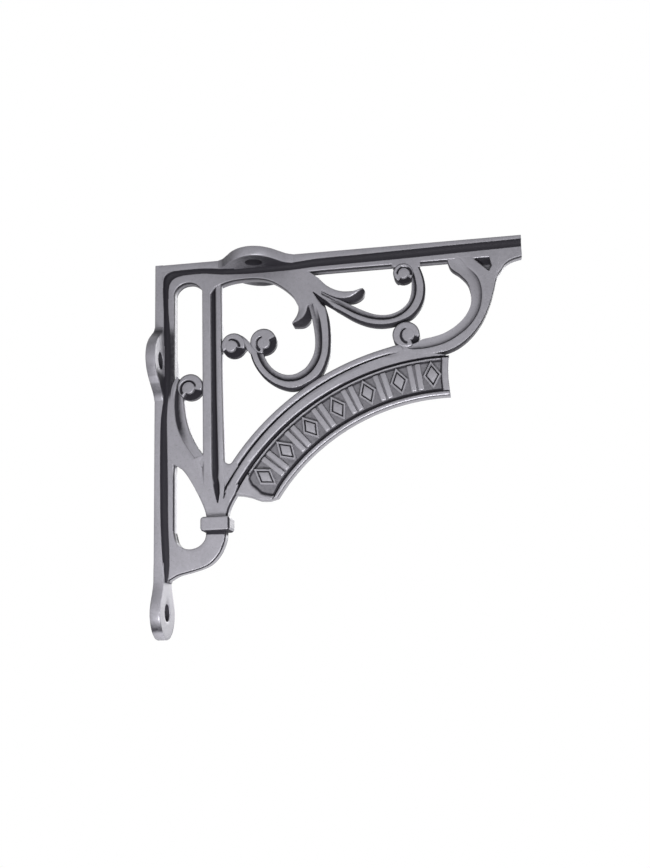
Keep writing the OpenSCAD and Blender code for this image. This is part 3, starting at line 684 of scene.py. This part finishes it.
def tip_shape(x, z, s, t, height, dark):
    """The sunk triangle is dark like the other hollows, and painted shade makes it darkest along its upper edge."""
    p = Vector((x, z))
    inside = min((b - a).cross(p - a) / (b - a).length * -1 for a, b in zip(dimple, dimple[1:] + dimple[:1]))
    if inside > -0.3 and height > BORDER:
        height -= 1.6 * ease((inside + 0.3) / 0.8)
        dark = max(dark, ease((inside + 0.3) / 0.7) * mix(0.45, 1, ease((z + 10.6) / 1.6)))
    return height, dark


def both_ends(t):
    return ease(t / 0.16) * ease((0.92 - t) / 0.14)


# In broad, the dark rows on the outer rounded edge are painted shade.
broad = ([(0, 0, 0, 0.4), (0, 0, 1.2, 0.4), (0, 0, 2.25, 1), (0, 0.08, 2.5, 0.9), (0, 0.25, 2.7, 0.3),
          (0, 0.45, 2.8, 0)]
         + [(k / 40, 0, 2.8 + 0.04 * math.sin(math.pi * k / 40), 0) for k in range(4, 36)]
         + [(1, -0.5, 2.78, 0), (1, -0.12, 2.66, 0.3), (1, 0.1, 2.4, 0.8), (1, 0.4, 2.25, 0.6), (1.3, 0, 2.2, 0.32),
            (1.6, 0, 2.28, 0.2), (1.85, 0, 2.36, 0.12), (2, -0.3, 2.38, 0.1), (2, -0.1, 2.25, 0.4), (2, 0, 1.9, 0.8),
            (2, 0, 1, 0.5), (2, 0, 0, 0.5)])
bm = bmesh.new()
strip(bm, lines(tip_outer, tip_ridge, tip_inner, steps=20), broad, flat=both_ends, shape=tip_shape, plain=2.79,
      over=0.009)
strip(bm, lines([(137, 6), (138.5, 6), (140.5, 6), (143, 6), (146.3, 6), (150, 6)],
                [(139.2, 17), (140.2, 14.4), (141.6, 12.6), (143.4, 10.2), (146.3, 8.6), (150, 7.7)]), web, over=0.006)
volute(bm, (102.5, 37), 5.4, (103.6, 36.9), 2.35, seam=(103, 262), hollow_and_shade=(-78, -12))
finish_piece(bm, "tip_scroll", walls=1.5)
eye_dome("tip_eye", (103.6, 36.9), 2.35)

# %% [markdown]
# Two leaf spurs curl out of the sheet. They narrow to blunt tips that stand further out than the web.

# %% Spurs
spur = [(0, 0, 0, 0.6), (0, 0, 1.4, 0.6), (0, 0, 2.1, 0.6), (0, 0.15, 2.6, 0.2), (0.15, 0, 2.76, 0), (0.4, 0, 2.8, 0),
        (0.7, 0, 2.8, 0), (1, -0.12, 2.74, 0), (1, 0.02, 2.6, 0.5), (1.25, 0, 2.35, 1), (1.6, 0, 2, 1),
        (2, -0.05, 1.5, 1), (2, 0, 1, 1), (2, 0, 0, 0.8)]


def curl(x, z, s, t, height, dark):
    """Near its root a spur is part of the flat sheet.
    Its face lifts towards the tip, and the flank opens beside it, painted dark as shade under the raised face."""
    reach, opened = 1.8, ease((t - 0.15) / 0.2)
    lift = ease((t - 0.3) / 0.7) * (1 - 0.6 * ease((t - 0.9) / 0.1))
    if height > BORDER and t < 0.35:
        height = mix(FACE, height, opened)
    return height * (1 + reach * lift / FACE), dark * opened


bm = bmesh.new()
strip(bm, lines([(59.3, 18), (59.4, 21), (59.3, 23.5), (58.5, 26), (57.3, 28.2), (56.8, 29.1)],
                [(63.1, 18), (63, 21), (62.6, 23.8), (61.1, 26.5), (58.8, 28.3), (57, 29.2)],
                [(63.3, 18), (63.6, 21), (64.3, 24.4), (63.9, 27.6), (61.4, 29.6), (57.5, 29.6)]),
      spur, shape=curl, over=0.009)
finish_piece(bm, "spur_down", walls=1.3)

bm = bmesh.new()
strip(bm, lines([(64, 9.4), (66.5, 9.6), (68.4, 10.6), (71, 13.3), (74, 15.4), (77.5, 16.8), (81.5, 17.2),
                 (84.3, 16.9), (86, 16.3)],
                [(64, 13.8), (67, 14.4), (70, 16.3), (73, 18.1), (75.8, 19.3), (78.7, 19.8), (81.8, 19.2),
                 (84.2, 17.8), (86.2, 16.5)],
                [(64, 14), (67, 14.6), (70, 16.6), (73, 18.6), (76, 20.1), (79.3, 21.1), (82.8, 20.9),
                 (85.6, 19.2), (86.7, 16.9)]),
      spur, shape=curl, over=0.009)
finish_piece(bm, "spur_right", walls=1.3)

# %% [markdown]
# The leaf beside the wall rib has a ridge, a cove and a thin bead along the lens-shaped opening.

# %% Wall leaf
leaf = [(0, 0, 0, 0.3), (0, 0, 2.806, 0), (0.25, 0, 2.806, 0), (0.5, 0, 2.806, 0), (0.8, 0, 2.8, 0),
        (1, -0.3, 2.65, 0.12), (1, -0.1, 2.4, 0.5), (1, 0.15, 2.05, 0.95), (1, 0.5, 1.8, 1), (1.3, 0, 1.75, 0.85),
        (1.55, 0, 1.9, 0.5), (2, -1.1, 2.1, 0.25), (2, -0.8, 2.25, 0.1), (2, -0.5, 2.3, 0.05), (2, -0.2, 2.2, 0.2),
        (2, -0.05, 1.95, 0.6), (2, 0, 1.2, 0.5), (2, 0, 0, 0.4)]
round_edge = [(0, 0, 0, 0.3), (0, 0, 1.9, 0.4), (0, 0.05, 2.3, 0.2), (0, 0.3, 2.65, 0.05)]


def leaf_shape(x, z, s, t, height, dark):
    """The cove turns shallow and bright towards the foot of the leaf."""
    if height > BORDER and 1 < s < 1.97:
        height, dark = mix(height, FACE, ease((t - 0.62) / 0.38)), dark * (1 - 0.85 * ease((t - 0.42) / 0.4))
    return height, dark


def crease_shape(x, z, s, t, height, dark):
    """The crease beside the post opens and closes softly."""
    if s > 0.5 and height > BORDER:
        soft = ease(t / 0.2) * ease((0.8 - t) / 0.4)
        height, dark = mix(2.812, height, soft), dark * soft
    return height, dark


bm = bmesh.new()
strip(bm, lines([(8.6, 47.6), (6.4, 52.5), (5.7, 60), (5.7, 66), (5.8, 72), (6, 80), (7, 83.6), (9.9, 85.6)],
                [(9.4, 48.6), (7.9, 54.5), (7.6, 60), (8.1, 66), (9.5, 71), (12, 76), (15.6, 81.4), (19, 86)],
                [(11, 50), (10.9, 55), (11.3, 60), (12.3, 66.3), (14, 71.6), (16.4, 76.6), (18.7, 80), (20, 82)],
                steps=10), leaf, shape=leaf_shape, plain=2.806)
strip(bm, lines([(8.4, 84.6), (9.9, 85.6), (12.3, 88.4), (15.1, 93), (17.2, 97)],
                [(19.8, 81), (19.8, 85), (19.8, 88), (19.8, 93), (19.8, 97)]),
      round_edge + [(0, 0.7, 2.812, 0), (0.4, 0, 2.812, 0), (0.7, 0, 2.812, 0), (1, -2.2, 2.8, 0), (1, -1.2, 2.55, 0.2),
                    (1, -0.6, 2.2, 0.6), (1, -0.3, 2.2, 0.6), (1, 0, 2.5, 0.2), (1, 0, 0, 0.3)],
      flat=lambda t: 1 - ease((t - 0.1) / 0.6), shape=crease_shape, plain=2.812)
volute(bm, (14, 52.3), 5.3, (13.6, 52.9), 2.25, seam=(-5, 225), hollow_and_shade=(-128, -8))
finish_piece(bm, "wall_scroll")
eye_dome("wall_eye", (13.6, 52.9), 2.25)

# %% [markdown]
# The arch is a band with a bead along its top and a dark seam between them.
# Its rails are plain arcs round one centre.

# %% Arch band
band = [(0, 0, 0, 0.3), (0, 0, 1.2, 0.3), (0, 0.03, 1.75, 0.25), (0, 0.2, 2.05, 0.08), (0, 0.6, 2.25, 0.02),
        (0.45, 0, 2.35, 0), (1, -1, 2.25, 0.05), (1, -0.55, 2, 0.5), (1, -0.3, 1.6, 1), (1, 0.1, 1.4, 1),
        (1, 0.35, 1.6, 1), (1, 0.52, 2.2, 0.7), (1, 0.75, 2.6, 0.15), (1, 1.1, 2.78, 0), (1.4, 0, 2.82, 0),
        (1.7, 0, 2.8, 0), (2, -1.5, 2.78, 0), (2, -1.15, 2.6, 0.15), (2, -0.9, 2.2, 0.7), (2, -0.7, 1.6, 1),
        (2, 0, 1.45, 1), (2, 0, 0, 0.6)]


def band_shape(x, z, s, t, height, dark):
    """The seam fades out at both ends, and the band rises to the face there.
    At the foot the post's cove cuts into the band, and its end stays below the funnel."""
    if 0.55 < s < 1.35 and height > BORDER:
        shut = max(ease((x - 92) / 8), ease((-z - 95) / 5))
        height, dark = mix(height, 2.76, shut), dark * (1 - shut)
    if s < 0.55 and height > BORDER:
        height = mix(height, height + 0.45, max(ease((x - 92) / 8), ease((-z - 93) / 5)))
    if z < -93:
        height, dark = carved(cove_end)(x, z, s, t, height, dark)
    if z < -96.5:
        height = min(height, FLOOR)
    return height, dark


bm = bmesh.new()
strip(bm, [arc(105.6, 156, 98.6, 130), arc(102.45, 156.5, 98, 130), arc(98, 157.2, 89.4, 130)], band, shape=band_shape)
strip(bm, lines([(27, 79.5), (27.2, 81.6), (28, 84), (30.1, 84.9), (32.3, 83)],
                [(26.6, 97), (27.2, 96), (28.4, 93.5), (30.6, 90), (33.5, 86)]),
      [(0, 0, 0, 0.3), (0, 0, 1.2, 0.3), (0, 0.03, 1.7, 0.3), (0, 0.2, 2.05, 0.1), (0, 0.6, 2.28, 0.02),
       (0.3, 0, 2.32, 0), (0.6, 0, 2.32, 0), (1, 0, 2.3, 0), (1, 0, 0, 0.3)], plain=2.32)
finish_piece(bm, "arch_band")

# %% [markdown]
# The curved panel hangs under the band. A raised rim runs round a sunk field, which carries the ornament.

# %% Arch panel
top_radius, panel_width, stations = 98.3, 16.4, 300
tail_sag = [0, 0.05, 0.15, 0.45, 0.75, 1.35, 1.8, 1.75, 1.5, 0.8, 0]  # at the left end, by tenths of the width
# In panel_rows, the dark next to the upper and lower rims is painted shadow of the raised rim, and the rest of the sunk
# field is half dark.
panel_rows = [(0, 0, 0.8), (0, 1.45, 1), (0.65, 1.5, 1), (0.85, 1.9, 0.9), (1, 2.35, 0.3), (1.2, 2.55, 0),
              (1.5, 2.5, 0.05), (1.7, 2.1, 0.6), (1.9, 1.85, 1)]
panel_rows += [(1.9 + 0.39 * k, 1.8, 1 if k < 2 else 0.5) for k in range(1, 30)]
panel_rows += [(13.6, 1.75, 1), (14.1, 1.7, 1), (14.5, 1.85, 1), (14.72, 2.4, 0.7), (14.9, 2.7, 0.1), (15.3, 2.8, 0),
               (15.8, 2.78, 0), (16.1, 2.65, 0.25), (16.3, 2.35, 0.8), (16.4, 1.9, 0.7), (16.4, 1, 0.15),
               (16.4, 0, 0.1)]


def panel_surface(i, j):
    """Rows run down from the upper edge in millimetres, and columns run from left to right.
    Some columns follow the rim's two ends, so that its steps stay clean there."""
    n = min(max(i - 1, 0), stations)
    mm, height, dark = panel_rows[j]
    r = top_radius - mm
    s = mm / panel_width
    start, end = mix(151.3, 146.6, s), 89.15 + 0.35 * math.sin(math.pi * min(s, 1))
    wide = between(mm, [(1.6, 9), (2.8, 6.6), (4.9, 4.4), (9, 2.4), (14, 1.7)])
    long = math.radians(start - end) * r
    left = between(n, [(0, 0), (14, wide - 0.8), (34, wide + 1.7), (stations - 24, long - 3.9),
                       (stations - 6, long - 1.9), (stations, long)])
    t, right = left / long, long - left
    angle = math.radians(mix(start, end, t))
    x, z = ARCH[0] + r * math.cos(angle), ARCH[1] + r * math.sin(angle)
    k = min(s, 1) * 10
    sag = mix(tail_sag[int(k)], tail_sag[min(int(k) + 1, 10)], k - int(k))
    z -= sag * ease(1 - t / 0.09)
    edge = min(right - 2.6, (left - wide) * 0.65)
    # Painted shade: a dark line where the field meets the rim at both ends.
    if 1.1 < mm < 14.4:
        wall = ease((edge + 0.45) / 0.9)
        height, dark = mix(2.78, height, wall), max(dark * wall, 1 - abs(edge - 0.3) / 0.7)
    nearest = min(left, right)
    # Painted shade darkens the panel's two ends.
    if mm > 0.5 and height > BORDER and nearest < 0.5:
        height, dark = min(height, 2 + 1.6 * nearest), max(dark, 0.4 * (1 - 2 * nearest))
    if i == 0 or i == stations + 2:
        height = 0
    return x, z, height, dark


bm = bmesh.new()
shell(bm, stations + 2, len(panel_rows) - 1, panel_surface)
finish_piece(bm, "arch_panel", walls=0.35)

# %% [markdown]
# Lozenges and pairs of reeds stand in the field by turns.
# A lozenge starts as a four-sided circle, and insets give it a raised border round a small peak.
# A reed starts as a cube, drawn out along the arch's radius and beveled round.

# %% Panel ornament
def lozenge():
    bm = bmesh.new()
    tone = tone_layer(bm)
    ring = bmesh.ops.create_circle(bm, segments=4, radius=MM, cap_ends=True)["verts"]
    bmesh.ops.rotate(bm, verts=ring, cent=(0, 0, 0), matrix=Matrix.Rotation(math.radians(90), 3, "X"))
    bmesh.ops.scale(bm, verts=ring, vec=(3.7, 1, 5.8))
    face = bm.faces[:][0]
    # Painted shade: the lozenge's side and its sunk ring are dark.
    for thick, out, dark in ((0, 0.9, 0.5), (0.25, 0.35, 0), (0.45, 0, 0), (0.25, -0.7, 1), (0.2, 0, 1),
                             (0.3, 0.55, 0.1), (0.3, 0.15, 0)):
        if thick:
            bmesh.ops.inset_region(bm, faces=[face], thickness=thick * MM, use_even_offset=True)
        else:
            grown = bmesh.ops.extrude_face_region(bm, geom=[face])["geom"]
            face = next(g for g in grown if isinstance(g, bmesh.types.BMFace))
        bmesh.ops.translate(bm, verts=face.verts, vec=(0, -out * MM, 0))
        for v in face.verts:
            v[tone] = dark
    return bm


def reed():
    bm = bmesh.new()
    tone = tone_layer(bm)
    bmesh.ops.create_cube(bm, size=MM)
    bmesh.ops.scale(bm, verts=bm.verts, vec=(2.3, 2.6, 10.8))
    bmesh.ops.bevel(bm, geom=bm.edges[:], offset=0.5 * MM, segments=3, profile=0.5, affect="EDGES", material=-1)
    # Painted shade: each reed darkens down its sides towards the field.
    for v in bm.verts:
        v[tone] = ease((v.co.y / MM + 1) / 0.9)
    return bm


def set_in(field, motif, angle, height):
    """Carry a motif, made at the origin, to its place on the arch and join it to the field's mesh."""
    a = math.radians(angle)
    outward, along = Vector((math.cos(a), 0, math.sin(a))), Vector((math.sin(a), 0, -math.cos(a)))
    spot = Vector((ARCH[0], -height, ARCH[1])) + outward * row_radius
    turn = Matrix((along, Vector((0, 1, 0)), outward)).transposed().to_4x4()
    bmesh.ops.transform(motif, matrix=Matrix.Translation(spot * MM) @ turn, verts=motif.verts)
    loose = bpy.data.meshes.new("motif")
    motif.to_mesh(loose)
    motif.free()
    field.from_mesh(loose)
    bpy.data.meshes.remove(loose)


row_radius, row_start, row_end, places = 90.6, 145.8, 91.4, 13
bm = bmesh.new()
tone_layer(bm)
for k in range(places):
    angle = row_start + (row_end - row_start) / places * (k + 0.5)
    if k % 2 == 0:
        set_in(bm, lozenge(), angle, 1.65)
    else:
        set_in(bm, reed(), angle - 0.95, 1.5)
        set_in(bm, reed(), angle + 0.95, 1.5)
bmesh.ops.mirror(bm, geom=bm.verts[:] + bm.edges[:] + bm.faces[:], axis="Y", merge_dist=1e-7)
finish_piece(bm, "panel_motifs", crease=30, walls=0)

# %% [markdown]
# Post, leaf and band run together in a smooth funnel above the collar.
# Below the collar the web bends back to the wall.

# %% Funnel and elbow
bm = bmesh.new()
strip(bm, lines([(16, 94.8), (17.2, 97), (18.9, 100.7), (20, 103.7), (20.6, 106.6)],
                [(34.2, 93.6), (32.8, 97.2), (30.8, 100.6), (29.5, 103.6), (28.9, 106.6)], steps=22),
      round_edge + [(0, 0.7, 2.81, 0)] + [(k / 48, 0, 2.818, 0) for k in range(4, 45)]
      + [(1, -1.1, 2.8, 0), (1, -0.75, 2.7, 0.5), (1, -0.4, 2.35, 1), (1, -0.1, 1.9, 1), (1, 0, 1.6, 0.5),
         (1, 0, 1.2, 0), (1, 0, 0, 0)],
      shape=carved(cove_end, seam_start))
finish_piece(bm, "funnel", walls=0)

# In bend, the dark rows along the first edge are painted shade on the bend's lower rim.
bend = [(0, 0, 0, 0), (0, 0, 1.2, 0), (0, 0, 1.6, 0.4), (0, 0, 2, 1), (0, 0.12, 2.4, 1), (0, 0.3, 2.65, 0.7),
        (0, 0.5, 2.76, 0.1), (0, 0.8, 2.8, 0), (0.3, 0, 2.8, 0), (0.5, 0, 2.8, 0), (0.7, 0, 2.8, 0), (1, -0.7, 2.8, 0),
        (1, -0.3, 2.65, 0.05), (1, -0.05, 2.3, 0.3), (1, 0, 1.9, 0.42), (1, 0, 0, 0.4)]


def below_collar(x, z, s, t, height, dark):
    """Painted shade under the collar, and along the slot's edge next to the wall rib."""
    if s > 0.95 and height > 1.5 and x > 7.2:
        dark = max(dark, 0.9 * ease((9.5 - x) / 2))
    return height, max(dark, ease((z - collar_low.z / MM + 1.5) / 0.5) * (x > 15))


bm = bmesh.new()
strip(bm, lines([(28.4, 111), (27.9, 115.4), (25.8, 120.3), (22.6, 123.9), (19, 125.8), (14, 127.2), (9, 128.4),
                 (5, 130.5)],
                [(20.4, 111), (19.9, 114.6), (17.6, 117.2), (13.9, 118.3), (10.2, 117.3), (8, 114.6), (7.2, 111),
                 (5.6, 108)]), bend, shape=below_collar, over=0.006)
finish_piece(bm, "foot_elbow", walls=0)

# %% [markdown]
# Shader maths reads best as plain Python.
# This small class wraps a socket, so that adding or multiplying two values adds a Math node.

# %% Socket maths
class Value:
    def __init__(self, tree, socket):
        self.tree, self.socket = tree, socket

    def node(self, kind, settings=None, **inputs):
        """Add a node. An input goes by its own name, or by the letter i and its number."""
        made = self.tree.nodes.new(kind)
        for key, value in (settings or {}).items():
            setattr(made, key, value)
        for key, value in inputs.items():
            numbered = key[0] == "i" and key[1:].isdigit()
            socket = made.inputs[int(key[1:]) if numbered else key.replace("_", " ")]
            if isinstance(value, Value):
                self.tree.links.new(value.socket, socket)
            else:
                socket.default_value = value
        return made

    def math(self, operation, a, b):
        return Value(self.tree, self.node("ShaderNodeMath", {"operation": operation}, i0=a, i1=b).outputs[0])

    def __add__(self, other):
        return self.math("ADD", self, other)

    def __radd__(self, other):
        return self.math("ADD", other, self)

    def __sub__(self, other):
        return self.math("SUBTRACT", self, other)

    def __rsub__(self, other):
        return self.math("SUBTRACT", other, self)

    def __mul__(self, other):
        return self.math("MULTIPLY", self, other)

    def step(self, low, high):
        made = self.node("ShaderNodeMapRange", {"interpolation_type": "SMOOTHSTEP"},
                         Value=self, From_Min=low, From_Max=high)
        return Value(self.tree, made.outputs[0])


# %% [markdown]
# The finish is bare iron that was tumbled until its raised faces shone. Three things vary over it.
# The hollows keep a dark skin, with painted shade added to it, and the faces carry a fine grain with soft clouds of
# grey.
# Small pits of the sand mould stay dark.

# %% Burnished iron
def noise(start, scale, detail, roughness=0.5):
    made = start.node("ShaderNodeTexNoise", {"noise_dimensions": "3D"},
                      Vector=start, Scale=scale, Detail=detail, Roughness=roughness)
    return Value(start.tree, made.outputs["Fac"])


def burnished(name, light, dark):
    """Inputs 6 and 7 of a Mix node are its two colours."""
    material = bpy.data.materials.new(name)
    material.use_nodes = True
    tree = material.node_tree
    shader = tree.nodes["Principled BSDF"]
    place = Value(tree, tree.nodes.new("ShaderNodeTexCoord").outputs["Object"])
    hollow_and_shade = Value(tree, place.node("ShaderNodeAttribute", {"attribute_name": "hollow_and_shade"}).outputs["Fac"])
    clouds = noise(place, 90, 3)
    grain = noise(place, 900, 4, 0.65)
    sand = noise(place, 2600, 2)
    pits = noise(place, 1500, 1).step(0.66, 0.74)
    # The dark mask below joins the dark skin of the hollows with the painted shade kept in the vertices.
    skin_and_shade = (hollow_and_shade + (grain - 0.5) * 0.35 + (clouds - 0.5) * 0.12).step(0.12, 0.85)
    shade = 0.80 + (clouds - 0.5) * 0.34 + (grain - 0.5) * 0.42 + (sand - 0.5) * 0.22 - pits * 0.2
    bright = place.node("ShaderNodeMix", {"data_type": "RGBA"}, i0=shade.step(0.35, 1.15),
                        i6=[c * 0.62 for c in light] + [1], i7=[*light, 1])
    colour = place.node("ShaderNodeMix", {"data_type": "RGBA"}, i0=skin_and_shade,
                        i6=Value(tree, bright.outputs[2]), i7=[*dark, 1])
    tree.links.new(colour.outputs[2], shader.inputs["Base Color"])
    tree.links.new((0.38 - skin_and_shade * 0.33).socket, shader.inputs["Metallic"])
    tree.links.new((0.42 + (grain - 0.5) * 0.16 + skin_and_shade * 0.3).socket, shader.inputs["Roughness"])
    relief = grain * 0.6 + sand * 0.4 - pits * 0.5
    bump = place.node("ShaderNodeBump", {}, Strength=0.35, Distance=0.00012, Height=relief)
    tree.links.new(bump.outputs[0], shader.inputs["Normal"])
    shader.inputs["Specular IOR Level"].default_value = 0.2
    return material


iron = burnished("burnished_iron", (0.275, 0.269, 0.298), (0.012, 0.011, 0.015))
panel_iron = burnished("burnished_panel_iron", (0.275, 0.269, 0.296), (0.014, 0.013, 0.017))
for piece in pieces:
    on_panel = piece.name.startswith(("arch_panel", "panel_motifs"))
    piece.data.materials.clear()
    piece.data.materials.append(panel_iron if on_panel else iron)
print("pieces:", len(pieces))

# %% [markdown]
# The bracket hangs over a plain pale floor.
# The world is white behind it for the camera and for reflections, as a studio backdrop is.
# The lamps are soft. The strongest stands in front on the right.
# A small one low on the right makes the foot the lightest part.

# %% Stage and light
bm = bmesh.new()
bmesh.ops.create_circle(bm, cap_ends=True, segments=64, radius=1)
bmesh.ops.translate(bm, verts=bm.verts, vec=(0.075, 0, -0.42))
floor_mesh = bpy.data.meshes.new("floor")
bm.to_mesh(floor_mesh)
bm.free()
floor = bpy.data.objects.new("floor", floor_mesh)
scene.collection.objects.link(floor)


def white_for_camera(start):
    """1 where a camera, glossy or transmission ray arrives."""
    rays = start.node("ShaderNodeLightPath").outputs
    a, b, c = (Value(start.tree, rays[k]) for k in ("Is Camera Ray", "Is Glossy Ray", "Is Transmission Ray"))
    return a.math("MAXIMUM", a, b.math("MAXIMUM", b, c))


pale = bpy.data.materials.new("pale_floor")
pale.use_nodes = True
tree = pale.node_tree
matt = tree.nodes["Principled BSDF"]
matt.inputs["Base Color"].default_value = (0.86, 0.86, 0.86, 1)
matt.inputs["Roughness"].default_value = 0.9
start = Value(tree, matt.outputs[0])
glow = start.node("ShaderNodeEmission", {}, Color=(1, 1, 1, 1), Strength=1)
blend = start.node("ShaderNodeMixShader", {}, i0=white_for_camera(start) * 0.93, i1=start,
                   i2=Value(tree, glow.outputs[0]))
tree.links.new(blend.outputs[0], tree.nodes["Material Output"].inputs["Surface"])
floor_mesh.materials.append(pale)

world = bpy.data.worlds.new("studio")
scene.world = world
world.use_nodes = True
tree = world.node_tree
backdrop = tree.nodes["Background"]
start = Value(tree, backdrop.outputs[0])
seen = white_for_camera(start)
tree.links.new((0.3 + seen * 0.7).socket, backdrop.inputs["Strength"])
backdrop.inputs["Color"].default_value = (1, 1, 1, 1)


def lamp(name, place, aim, size, power):
    data = bpy.data.lights.new(name, "AREA")
    data.shape, data.size, data.energy = "DISK", size, power
    made = bpy.data.objects.new(name, data)
    scene.collection.objects.link(made)
    turn = (Vector(aim) - Vector(place)).to_track_quat("-Z", "Y").to_matrix().to_4x4()
    made.matrix_world = Matrix.Translation(place) @ turn
    print(name, power, "W")


lamp("key", (0.85, -0.8, -0.12), (0.07, 0, -0.07), 0.6, 2.7)
lamp("left", (-0.55, -0.9, 0.25), (0.07, 0, -0.06), 0.7, 0.7)
lamp("low", (0.125, -0.18, -0.27), (0.03, 0, -0.13), 0.1, 1.4)
lamp("behind", (0.3, 0.9, 0.25), (0.07, 0, -0.07), 0.7, 5)
